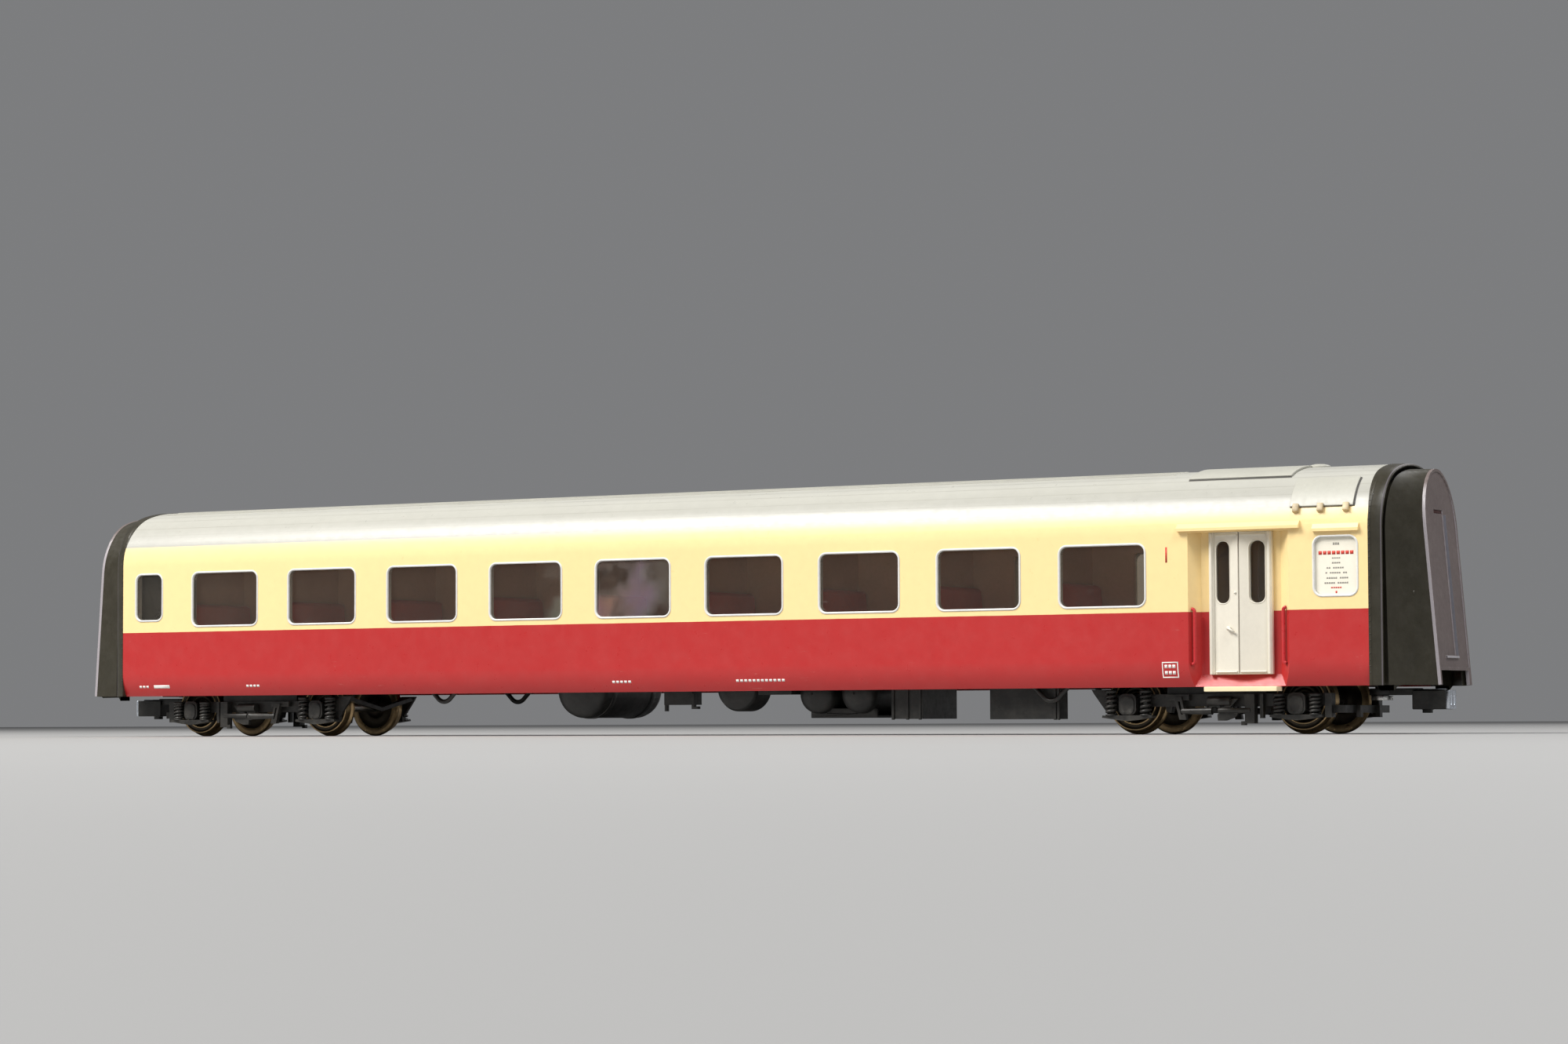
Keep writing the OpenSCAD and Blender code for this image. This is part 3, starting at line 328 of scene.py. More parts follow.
def window_glass():
    """Clear plastic panes, lightly tinted, with dust, scratches and a faint painted rainbow sheen in two of
    them.
    """
    look = Look("window_glass", (0.62, 0.6, 0.56), 0.16, specular=0.6)
    tree = look.tree
    patches = look.band(look.noise(0.16, 5, 0.6), 0.46, 0.66)
    fine = look.calc("MULTIPLY", look.band(look.cells(4.2), 0.08, 0.2, 1.0, 0.0), patches)
    grains = look.calc("MULTIPLY", look.band(look.cells(1.7, (1, 1, 1.3)), 0.05, 0.11, 1.0, 0.0),
                       look.band(look.noise(0.5, 3), 0.48, 0.58))
    lines = look.calc("MULTIPLY", look.band(look.noise(0.7, 8, 0.7, (0.5, 0.5, 9)), 0.6, 0.7),
                      look.band(look.noise(0.12, 3), 0.46, 0.6))
    low_film = look.calc("MULTIPLY", look.band(look.axis("Z"), 22.8, 26.0, 1.0, 0.0),
                         look.calc("MULTIPLY", look.band(look.cells(3.6, (1, 1, 1.4)), 0.08, 0.24, 1.0, 0.0),
                                   look.band(look.noise(0.4, 4), 0.42, 0.6)))
    haze = look.calc("ADD", look.calc("MULTIPLY", fine, 0.5), look.calc("MULTIPLY", lines, 0.3))
    haze = look.calc("ADD", haze, look.calc("MULTIPLY", low_film, 0.6))
    haze = look.calc("ADD", haze, look.calc("MULTIPLY", grains, 0.55), True)
    x = look.axis("X")
    # painted sheen: rainbow colours laid over two panes, which also makes them less clear there
    tone = tree.nodes.new("ShaderNodeValToRGB")
    ramp = tone.color_ramp
    ramp.elements[0].position, ramp.elements[0].color = 0.0, (0.02, 0.35, 0.08, 1)
    ramp.elements[1].position, ramp.elements[1].color = 1.0, (0.05, 0.4, 0.12, 1)
    rainbow = ((0.3, (0.55, 0.12, 0.3, 1)), (0.55, (0.6, 0.2, 0.04, 1)), (0.8, (0.3, 0.1, 0.35, 1)))
    for place, colour in rainbow:
        ramp.elements.new(place).color = colour
    warp = look.band(look.noise(0.12, 2), 0.3, 0.7, -3.0, 3.0)
    look.put(tone, "Fac", look.band(look.calc("ADD", x, warp), -32, -3))
    painted_sheen = look.calc("MULTIPLY", look.band(x, -32.5, -28, 0.0, 1.0), look.band(x, -8, -2.5, 1.0, 0.0))
    painted_sheen = look.calc("MULTIPLY", painted_sheen, look.band(look.noise(0.14, 2), 0.4, 0.62, 0.0, 0.5))
    look.over(look.calc("MULTIPLY", painted_sheen, look.calc("SUBTRACT", 1.0, haze, True)), tone.outputs["Color"])
    look.put(look.shader, "Roughness", look.band(haze, 0.0, 0.6, 0.1, 0.6))
    look.bump(0.008, 0.5, 2)
    look.done()
    through = tree.nodes.new("ShaderNodeBsdfTransparent")
    through.inputs["Color"].default_value = (0.93, 0.88, 0.81, 1)
    gloss = tree.nodes.new("ShaderNodeFresnel")
    gloss.inputs["IOR"].default_value = 1.45
    shine = look.calc("MULTIPLY", gloss.outputs["Fac"], 0.8)
    film = look.calc("ADD", look.calc("MULTIPLY", haze, 0.6), look.calc("MULTIPLY", painted_sheen, 0.4))
    cover = look.calc("ADD", shine, film, True)
    mix = tree.nodes.new("ShaderNodeMixShader")
    look.put(mix, 0, cover)
    tree.links.new(through.outputs[0], mix.inputs[1])
    tree.links.new(look.shader.outputs[0], mix.inputs[2])
    tree.links.new(mix.outputs[0], tree.nodes["Material Output"].inputs["Surface"])
    return look.material


def plate_plastic():
    """Brown-grey end plate whose narrow sides carry a painted highlight in a paler lilac."""
    look = Look("end_plate_plastic", (0.15, 0.117, 0.112), 0.42, specular=0.45)
    look.vary(0.12, 0.08).vary(1.2, 0.06)
    # painted highlight: faces turned along y become paler lilac
    side = look.calc("ABSOLUTE", look.facing((0, 1, 0)))
    look.over(look.band(side, 0.75, 0.95, 0.0, 0.8), (0.42, 0.39, 0.42))
    look.edge_wear_and_light(0.25, (0.45, 0.42, 0.4))
    look.dust(0.1)
    look.rough(0.36, 0.5, 1.1)
    look.bump(0.012, 2.2, 4)
    return look.done()


def make_materials():
    return {
        "body": body_paint(),
        "rim": simple_plastic("window_rim", (0.74, 0.74, 0.71), 0.3, 0.12, (0.55, 0.53, 0.48), vary=0.06),
        "glass": window_glass(),
        "board": simple_plastic("board_card", (0.84, 0.8, 0.68), 0.45, 0.04, vary=0.02),
        "door": simple_plastic("door_plastic", (0.74, 0.70, 0.6), 0.35, 0.12, (0.6, 0.55, 0.45), vary=0.03),
        "red": simple_plastic("red_plastic", (0.5, 0.025, 0.03), 0.3, 0.08, vary=0.05),
        "cream": simple_plastic("cream_plastic", (0.9, 0.78, 0.5), 0.35, 0.12, (0.95, 0.9, 0.75), vary=0.04),
        "roof": simple_plastic("roof_plastic", (0.45, 0.445, 0.39), 0.4, 0.12, (0.45, 0.43, 0.38), vary=0.04),
        # painted shade: the cream latches darkened to tan, with painted shadow in dark brown at their edges
        "latch": simple_plastic("latch_cream_painted_shade", (0.5, 0.4, 0.24), 0.42, 0.08, (0.25, 0.17, 0.08), 0.02, 0.3),
        # painted shadow: dark grey for the lines under the roof hatches' edges
        "seam": simple_plastic("hatch_shadow_grey", (0.1, 0.095, 0.09), 0.6, 0.02, vary=0.05),
        "end": simple_plastic("end_plastic", (0.03, 0.026, 0.0155), 0.36, 0.05, None, 0.006, 0.1),
        # painted highlight: the end ring's lip in a paler lilac-grey, with brighter edges
        "lip": simple_plastic("end_lip_painted_highlight", (0.12, 0.105, 0.115), 0.4, 0.06,
                              (0.3, 0.28, 0.3), 0.006, 0.08),
        "plate": plate_plastic(),
        # painted reflection: the end plate rib's bluish tone and bright bluish edges
        "plate_rib": simple_plastic("plate_rib_painted_reflection", (0.13, 0.125, 0.15), 0.4, 0.06,
                                    (0.4, 0.4, 0.45), 0.01, 0.06),
        # painted highlight: the end plate ledge's bright lilac and bright edges
        "plate_ledge": simple_plastic("plate_ledge_painted_highlight", (0.42, 0.4, 0.42), 0.35, 0.05,
                                      (0.7, 0.7, 0.7), 0.01, 0.05),
        # painted shade: dark red-brown in the end plate's notch, also used for the dark joint between the
        # door leaves
        "notch": simple_plastic("notch_painted_shade_and_door_seam", (0.05, 0.014, 0.012), 0.55, 0.03, None, 0.01, 0.1),
        "black": simple_plastic("underframe_plastic", (0.011, 0.011, 0.01), 0.42, 0.08,
                                (0.06, 0.058, 0.05), 0.02, 0.15),
        "bogie": simple_plastic("bogie_plastic", (0.016, 0.0155, 0.014), 0.4, 0.14,
                                (0.11, 0.105, 0.09), 0.02, 0.2),
        "interior": simple_plastic("interior_plastic", (0.8, 0.6, 0.46), 0.55, 0.05, vary=0.06),
        "seat": simple_plastic("seat_plastic", (0.75, 0.14, 0.11), 0.5, 0.05, vary=0.08),
        "steel": metal("bright_steel", (0.6, 0.6, 0.58), 0.3),
        "plate_steel": metal("rolled_steel", (0.4, 0.4, 0.4), 0.4, (1, 8, 1)),
        "coupler_metal": metal("coupler_metal", (0.62, 0.66, 0.72), 0.3, grime=0.25),
        "bronze": metal("bronze_rim", (0.42, 0.3, 0.16), 0.32, grime=0.35),
        "blackened": metal("blackened_wheel", (0.05, 0.042, 0.032), 0.4, grime=0.3),
        "white_print": simple_plastic("white_print", (0.85, 0.82, 0.78), 0.5, 0.02, vary=0.04),
        "red_print": simple_plastic("red_print", (0.6, 0.05, 0.03), 0.5, 0.02, vary=0.04),
        "grey_print": simple_plastic("grey_print", (0.3, 0.285, 0.25), 0.5, 0.02, vary=0.04),
    }


# ---------------------------------------------------------------- mesh building

def smooth(piece, bevel_mm=0.0, segments=2, angle=30.0):
    """Rounds a piece's sharp edges and shades its curves smoothly."""
    for polygon in piece.data.polygons:
        polygon.use_smooth = True
    weld = piece.modifiers.new("weld", "WELD")
    weld.merge_threshold = 0.002 * MM
    if bevel_mm:
        rounding = piece.modifiers.new("rounding", "BEVEL")
        rounding.width = bevel_mm * MM
        rounding.segments = segments
        rounding.limit_method = "ANGLE"
        rounding.angle_limit = math.radians(angle)
        rounding.harden_normals = False
    normals = piece.modifiers.new("normals", "WEIGHTED_NORMAL")
    normals.keep_sharp = False


def add_piece(name, bm, material, body="coach", stands_for=()):
    """Makes an object of a bmesh, with its material or materials, body and the nodes it replaces."""
    mesh = bpy.data.meshes.new(name)
    bmesh.ops.recalc_face_normals(bm, faces=bm.faces)
    bm.to_mesh(mesh)
    bm.free()
    for item in material if isinstance(material, (list, tuple)) else [material]:
        mesh.materials.append(item)
    piece = bpy.data.objects.new(name, mesh)
    bpy.context.scene.collection.objects.link(piece)
    for polygon in mesh.polygons:
        polygon.use_smooth = True
    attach(piece, body)
    if stands_for:
        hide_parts(*stands_for)
    return piece


def rings(bm, loops, closed_loop=True, cap=True):
    """Skins a row of point loops, each a list of Vectors in millimetres."""
    verts = [[bm.verts.new(Vector(p) * MM) for p in loop] for loop in loops]
    count = len(verts[0])
    for a, b in zip(verts, verts[1:]):
        for k in range(count if closed_loop else count - 1):
            n = (k + 1) % count
            bm.faces.new((a[k], a[n], b[n], b[k]))
    if cap:
        for loop in (verts[0], verts[-1]):
            bm.faces.new(loop)
    return verts


def tube(bm, path, radius, sides=10):
    """Sweeps a round bar along points, with a frame carried from point to point."""
    points = [Vector(p) for p in path]
    count = len(points)
    normal = None
    loops = []
    for k, point in enumerate(points):
        ahead = points[k + 1] if k + 1 < count else point
        behind = points[k - 1] if k else point
        tangent = (ahead - behind).normalized()
        if normal is None:
            helper = Vector((0, 0, 1)) if abs(tangent.z) < 0.9 else Vector((1, 0, 0))
            normal = tangent.cross(helper).normalized()
        normal = (normal - tangent * normal.dot(tangent)).normalized()
        side = tangent.cross(normal)
        loops.append([point + radius * (math.cos(a) * normal + math.sin(a) * side)
                      for a in [2 * math.pi * j / sides for j in range(sides)]])
    rings(bm, loops)


def lathe(bm, profile, centre, axis="Y", sides=64, parts=None):
    """Turns (radius, along) points about an axis; parts gives each step's material index."""
    place = {"Y": lambda r, t, a: (r * math.cos(a), t, r * math.sin(a)),
             "X": lambda r, t, a: (t, r * math.cos(a), r * math.sin(a)),
             "Z": lambda r, t, a: (r * math.cos(a), r * math.sin(a), t)}[axis]
    loops = []
    for radius, along in profile:
        loops.append([bm.verts.new((Vector(centre) + Vector(place(max(radius, 1e-4), along,
                      2 * math.pi * j / sides))) * MM) for j in range(sides)])
    for k, (a, b) in enumerate(zip(loops, loops[1:])):
        for j in range(sides):
            n = (j + 1) % sides
            bm.faces.new((a[j], a[n], b[n], b[j])).material_index = parts[k] if parts else 0
    for loop in (loops[0], loops[-1]):
        bm.faces.new(loop).material_index = parts[0] if parts else 0
    return loops


def brick(bm, low, high):
    """Box between two corners in millimetres."""
    corners = [Vector((x, y, z)) * MM for z in (low[2], high[2])
               for x, y in ((low[0], low[1]), (high[0], low[1]), (high[0], high[1]), (low[0], high[1]))]
    v = [bm.verts.new(c) for c in corners]
    for quad in ((0, 3, 2, 1), (4, 5, 6, 7), (0, 1, 5, 4), (1, 2, 6, 5), (2, 3, 7, 6), (3, 0, 4, 7)):
        bm.faces.new([v[k] for k in quad])


def round_rect(width, height, radius, steps=8):
    """Outline of a rectangle with round corners, about the origin."""
    points = []
    for cx, cy, start in ((1, 1, 0), (-1, 1, 90), (-1, -1, 180), (1, -1, 270)):
        for k in range(steps + 1):
            a = math.radians(start + 90 * k / steps)
            points.append((cx * (width / 2 - radius) + radius * math.cos(a),
                           cy * (height / 2 - radius) + radius * math.sin(a)))
    return points


def mirrored_y(bm):
    """Adds a mirror image across the coach's middle plane."""
    twin = bmesh.ops.duplicate(bm, geom=bm.verts[:] + bm.edges[:] + bm.faces[:])
    for item in twin["geom"]:
        if isinstance(item, bmesh.types.BMVert):
            item.co.y = -item.co.y
    bmesh.ops.reverse_faces(bm, faces=[g for g in twin["geom"] if isinstance(g, bmesh.types.BMFace)])


def turned(bm, sign):
    """Turns the front end's mesh round to the rear when sign is -1."""
    if sign < 0:
        bmesh.ops.rotate(bm, verts=bm.verts, matrix=Matrix.Rotation(math.pi, 3, "Z"))


# ---------------------------------------------------------------- body section

HALF_W = 16.6
SKIRT_Z = 8.3
TUCK = (6.8, 13.0, 9.8)
CANT = (5.6, 35.056, 11.0)
CROWN = (0.0, 16.9, 30.0)
CANT_END = math.degrees(math.atan2(CANT[1] - CROWN[1], CANT[0]))


def arc_points(arc, start, end, steps):
    """Points from start to end degrees on an arc of (centre y, centre z, radius)."""
    return [(arc[0] + arc[2] * math.cos(math.radians(start + (end - start) * k / steps)),
             arc[1] + arc[2] * math.sin(math.radians(start + (end - start) * k / steps)))
            for k in range(steps + 1)]


def resampled(points, count):
    """Evenly spaced points along an open line."""
    lengths = [0.0]
    for a, b in zip(points, points[1:]):
        lengths.append(lengths[-1] + math.dist(a, b))
    result, k = [], 0
    for j in range(count):
        want = lengths[-1] * j / (count - 1)
        while k < len(points) - 2 and lengths[k + 1] < want:
            k += 1
        span = lengths[k + 1] - lengths[k]
        t = (want - lengths[k]) / span if span else 0
        result.append(tuple(a + (b - a) * t for a, b in zip(points[k], points[k + 1])))
    return result


# ---------------------------------------------------------------- pieces

def carry_cad_nodes(materials):
    """CAD nodes whose shape is right keep it, with rounded edges and their own material."""
    plan = (
        ("body", 0.12, ["body_shell"]),
        ("glass", 0.08, ["glazing_left", "glazing_right", "door_glazing"]),
        ("board", 0.05, ["destination_boards"]),
        ("door", 0.1, ["door_left", "door_right"]),
        ("cream", 0.2, ["footsteps"]),
        ("roof", 0.1, ["roof_long_hatch", "roof_side_hatches", "roof_dome"]),
        ("latch", 0.12, ["hatch_latches"]),
        ("steel", 0.05, ["door_handles", "bogie_pivot_screws", "coupler_pivot_screws", "chassis_screws"]
         + ["axle_%s_%s" % (end, place) for end, _ in ENDS for place in ("outer", "inner")]),
        ("end", 0.0, ["end_ring_front", "end_ring_rear"]),
        ("plate", 0.12, ["gangway_plate_front", "gangway_plate_rear"]),
        ("black", 0.15, ["chassis", "main_tank", "air_reservoirs", "air_compressor", "equipment_boxes",
                         "underfloor_pipes", "coupler_front", "coupler_rear"]),
        ("coupler_metal", 0.1, ["coupler_face_front", "coupler_face_rear"]),
        ("bogie", 0.1, ["%s_%s" % (part, end) for end, _ in ENDS
                        for part in ("bogie_frame", "axleboxes", "bogie_links", "brake_gear")]),
        ("plate_steel", 0.1, ["ballast_weight"]),
        ("interior", 0.1, ["interior_floor", "compartment_walls"]),
        ("seat", 0.35, ["seats"]),
    )
    for look, bevel, nodes in plan:
        for name in nodes:
            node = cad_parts[name]
            node.data.materials.clear()
            node.data.materials.append(materials[look])
            smooth(node, bevel, 3 if bevel > 0.15 else 2)


WINDOW_X0, WINDOW_PITCH, WINDOW_COUNT = -110, 24.58, 9
BOARD_X = 130.65


def window_places():
    """Centre x, low z, width, height and corner radius of every framed opening on a side."""
    large = [(WINDOW_X0 + WINDOW_PITCH * k, 22.7, 16.4, 10.6, 1.3) for k in range(WINDOW_COUNT)]
    return large + [(-129.7, 24, 6.6, 9.2, 1.3), (BOARD_X, 23.9, 7.6, 9.8, 1.3)]


def frame_loop(bm, window, section):
    """Sweeps a small section of (outwards, proud) points round a window's outline."""
    x, low, width, height, radius = window
    loops = []
    for out, proud in section:
        outline = round_rect(width + 2 * out, height + 2 * out, radius + out)
        loops.append([(x + px, proud, low + height / 2 + pz) for px, pz in outline])
    loops.append(loops[0])
    verts = rings(bm, loops, cap=False)
    bmesh.ops.remove_doubles(bm, verts=verts[0] + verts[-1], dist=1e-7)


def window_frames(materials):
    """Rounded silver-white rims, seated in the body and standing just proud of it."""
    section = [(0.4, 1.0), (0.4, -0.05), (0.35, -0.11), (0.24, -0.14), (0.11, -0.12), (0.03, -0.05), (0, 0.3),
               (0, 1.0)]
    for side, sign in SIDES:
        bm = bmesh.new()
        for window in window_places():
            frame_loop(bm, window, [(out, -HALF_W + proud) for out, proud in section])
        if sign > 0:
            for vert in bm.verts:
                vert.co.y = -vert.co.y
        name = "window_frames_" + side
        add_piece(name + "_rims", bm, materials["rim"], stands_for=[name])


RING_FOOT_X, RING_LIP_X = 136.6, 138.8
RING_LEAN, RING_LEAN_Z, CROWN_Z = 0.9, 38.0, 46.9
MOUTH_X, MOUTH_LEAN = 139.5, math.tan(math.radians(0.8))
PLATE_X, PLATE_LEAN, WIDE_LEAN, PLATE_T = 146.2, math.radians(4.9), math.radians(3.9), 0.6
SHELL_Z, SHELL_T = 8.35, 0.9
PLATE_HALF_W, PLATE_SHOULDER, PLATE_TOP = 7.7, 36.0, 46.0
FOOT_SLOT = (-7.1, 6.5, 10.9)
PIN_R, PIN_Y, PIN_Z, WASHER_X = 1.0, 9.5, 24, 132


def straight_section(side, drop, foot=SKIRT_Z, upright=16, curve=34):
    """End outline with straight feet, narrowed at the sides and lowered at the top, as (y, z)."""
    shoulder = CANT[1]
    wall = [(HALF_W, foot + (shoulder - foot) * k / upright) for k in range(upright)]
    roof = resampled(arc_points(CANT, 0, CANT_END, 40) + arc_points(CROWN, CANT_END, 90, 24)[1:], curve)
    half = [(y * (HALF_W - side) / HALF_W, z - drop * min(1, max(0, (z - foot) / 2))) for y, z in wall + roof]
    return half + [(-y, z) for y, z in reversed(half[:-1])]


def plate_section(shrink=0.0, foot=SHELL_Z, upright=16, curve=34):
    """End plate outline, point for point with straight_section."""
    half_w, top = PLATE_HALF_W - shrink, PLATE_TOP - shrink
    wall = [(half_w, foot + (PLATE_SHOULDER - foot) * k / upright) for k in range(upright)]
    arch = [(half_w * math.cos(math.radians(a)), PLATE_SHOULDER + (top - PLATE_SHOULDER)
             * math.sin(math.radians(a))) for a in [90 * k / 96 for k in range(97)]]
    half = wall + resampled(arch, curve)
    return half + [(-y, z) for y, z in reversed(half[:-1])]


def on_plate(along, y, z, lean=PLATE_LEAN):
    """Point on the leaning end plate, a distance along its normal from its back."""
    rise = z - SHELL_Z
    return (PLATE_X - PLATE_T + along * math.cos(lean) - rise * math.sin(lean), y,
            SHELL_Z + rise * math.cos(lean) + along * math.sin(lean))


def end_outline(wide, shrink):
    """Outline of the shell's outer end: nearly its full width when wide, else a narrow arch."""
    if wide:
        return straight_section(2.5 + shrink, 0.95 + 1.5 * shrink, SHELL_Z)
    return plate_section(shrink)


def shell_skin(wide, inset):
    """Rows of the gangway shell from its mouth to the leaning end plate."""
    mouth = straight_section(1.5 + 2 * inset, 0.95 + 1.5 * inset, SHELL_Z)
    first = [(MOUTH_X + inset - MOUTH_LEAN * (z - SHELL_Z), y, z) for y, z in mouth]
    last = [on_plate(-inset, y, z, WIDE_LEAN if wide else PLATE_LEAN) for y, z in end_outline(wide, inset)]
    steps = 8
    return [[tuple(a + (b - a) * k / steps for a, b in zip(p, q)) for p, q in zip(first, last)]
            for k in range(steps + 1)]


def gangway_shells(materials):
    """Smooth shell from its mouth at the end ring to the upright edge of the end plate."""
    for end, sign in ENDS:
        wide = sign < 0
        outer, inner = shell_skin(wide, 0.0), shell_skin(wide, SHELL_T)
        collar = straight_section(2.2, 2.2, SHELL_Z)
        bore = straight_section(3.1, 3.1, SHELL_Z)
        loops = [*reversed(inner), [(MOUTH_X + 0.3, y, z) for y, z in bore],
                 [(RING_LIP_X - 1.5, y, z) for y, z in bore], [(RING_LIP_X - 1.5, y, z) for y, z in collar],
                 [(MOUTH_X - 0.3, y, z) for y, z in collar], *outer]
        bm = bmesh.new()
        rings(bm, loops, closed_loop=False, cap=False)
        rings(bm, [outer[-1], inner[-1]], closed_loop=False, cap=False)
        lean = WIDE_LEAN if wide else PLATE_LEAN
        right, left, top = FOOT_SLOT
        slot = [on_plate(0, y, z, lean)
                for y, z in ((right, SHELL_Z), (right, top), (left, top), (left, SHELL_Z))]
        bm.faces.new([bm.verts.new(Vector(p) * MM) for p in outer[-1] + slot])
        bmesh.ops.remove_doubles(bm, verts=bm.verts, dist=1e-7)
        pin_end = 144.0 if wide else 142.5
        for s in (-1, 1):
            lathe(bm, [(PIN_R, 130.2), (PIN_R, pin_end)], (0, s * PIN_Y, PIN_Z), "X", 20)
            washer = [(PIN_R, WASHER_X), (1.6, WASHER_X), (1.6, WASHER_X + 0.8), (PIN_R, WASHER_X + 0.8)]
            lathe(bm, washer, (0, s * PIN_Y, PIN_Z), "X", 24)
        turned(bm, sign)
        name = "gangway_shell_" + end
        piece = add_piece(name + "_skin", bm, materials["end"], end + "_gangway", [name])
        piece.data.set_sharp_from_angle(angle=math.radians(35))


def ring_lean(z):
    """How far the ring's inboard edge leans back over the crown."""
    return RING_LEAN * max(0.0, z - RING_LEAN_Z) / (CROWN_Z + 1 - RING_LEAN_Z)


def plate_details(materials):
    """Rib, ledge and notch of each end plate, laid on its leaning face: the rib's bluish tone is painted
    reflection, the ledge's bright lilac painted highlight, the notch's dark painted shade.
    """
    for end, sign in ENDS:
        lean = WIDE_LEAN if sign < 0 else PLATE_LEAN
        for name, look, depth, y0, y1, z0, z1, edge in (
                ("plate_rib_", "plate_rib", (0.5, 0.62), 0.92, 2.38, 13.3, 38.0, 0.12),
                ("plate_ledge_", "plate_ledge", (0.5, 0.74), -3.7, 2.3, 12.98, 13.4, 0.1),
                ("plate_notch_", "notch", (0.1, 0.24), -2.9, 1.45, 38.15, 38.75, 0.03)):
            bm = bmesh.new()
            low, high = depth
            loops = []
            rounding = ((low, 0.0), (high - edge, 0.0), (high - edge * 0.3, edge * 0.3), (high, edge))
            for along, shrink in rounding:
                loops.append([on_plate(along, y, z, lean) for y, z in (
                    (y0 + shrink, z0 + shrink), (y1 - shrink, z0 + shrink), (y1 - shrink, z1 - shrink),
                    (y0 + shrink, z1 - shrink))])
            rings(bm, loops)
            turned(bm, sign)
            add_piece(name + end, bm, materials[look], end + "_gangway")


def helix(centre, radius, height, turns, axis="Z", per_turn=20):
    """Points along a coil with flattened end turns."""
    points = []
    total = int(turns * per_turn)
    for k in range(total + 1):
        a = 2 * math.pi * k / per_turn
        t = k / total
        rise = height * (t - 0.09 * math.sin(2 * math.pi * t) / math.pi)
        c, s = radius * math.cos(a), radius * math.sin(a)
        offset = (c, s, rise) if axis == "Z" else (rise, c, s)
        points.append(tuple(p + o for p, o in zip(centre, offset)))
    return points


PIVOT, AXLE, WHEEL_R, WHEEL_BACK = 105.7, 16.0, 5.85, 7.2
SPRING_SHIFT, SPRING_Y, COIL_FOOT = 3.35, 12.45, 3.68
OUTER_SPRING_TOP, INNER_SPRING_TOP = 7.1, 7.9


def springs(materials):
    """Coils with caps over the axleboxes, and the coils round the gangway's guide pins."""
    for end, sign in ENDS:
        bm = bmesh.new()
        for axle in (-1, 1):
            for shift in (-SPRING_SHIFT, SPRING_SHIFT):
                for side in (-1, 1):
                    top = OUTER_SPRING_TOP if axle > 0 else INNER_SPRING_TOP
                    x = PIVOT + axle * AXLE + shift
                    foot = (x, side * SPRING_Y, COIL_FOOT)
                    tube(bm, helix(foot, 0.82, top - 0.6 - COIL_FOOT, 4.6), 0.26, 8)
                    lathe(bm, [(0.5, 3.4), (1.05, 3.4), (1.05, 3.55), (0.5, 3.65), (0.45, top - 0.6),
                               (1.05, top - 0.5), (1.1, top - 0.25), (1.05, top), (0.5, top)],
                          (x, side * SPRING_Y, 0), "Z", 20)
        turned(bm, sign)
        name = "coil_springs_" + end
        add_piece(name + "_coils", bm, materials["bogie"], end + "_bogie", [name])
        bm = bmesh.new()
        for side in (-1, 1):
            tube(bm, helix((134.65, side * PIN_Y, PIN_Z), 1.55, 6.2, 6.5, "X"), 0.22, 8)
        turned(bm, sign)
        name = "gangway_springs_" + end
        piece = add_piece(name + "_coils", bm, materials["steel"], "coach", [name])
        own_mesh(piece)


def wheelsets(materials):
    """Turned wheels: bronze tread, flange and rim, dark dished web, raised hub with a bright ring."""
    profile = [(0.97, 0), (2.2, 0), (2.35, 0.35), (4.1, 0.45), (4.3, 0), (5.55, 0), (5.75, 0.1), (5.85, 0.28),
               (5.85, 0.46), (5.73, 0.68), (5.42, 0.86), (5.32, 1.0), (5.26, 2.2), (5.2, 2.4), (5.08, 2.5),
               (4.9, 2.5), (4.86, 2.44), (4.1, 2.4), (4.0, 2.5), (3.88, 2.5), (3.8, 2.3), (3.4, 1.6),
               (3.05, 1.5), (2.9, 1.62), (2.8, 2.0), (2.65, 2.1), (2.2, 2.1), (2.08, 2.0), (2.0, 1.75),
               (1.4, 1.68), (1.32, 2.2), (1.2, 2.3), (0.97, 2.3)]
    flange_to_rim, inner_ring = range(4, 16), range(17, 20)
    bright = [1 if k in flange_to_rim or k in inner_ring else 0 for k in range(len(profile) - 1)]
    for end, sign in ENDS:
        for place, out in (("outer", 1), ("inner", -1)):
            bm = bmesh.new()
            for side in (-1, 1):
                lathe(bm, [(r, side * (WHEEL_BACK + t)) for r, t in profile],
                      (sign * (PIVOT + out * AXLE), 0, WHEEL_R), "Y", 72, bright)
            name = "wheels_%s_%s" % (end, place)
            finish = [materials["blackened"], materials["bronze"]]
            piece = add_piece(name + "_pair", bm, finish,
                              "%s_%s_wheelset" % (end, place), [name])
            smooth(piece)


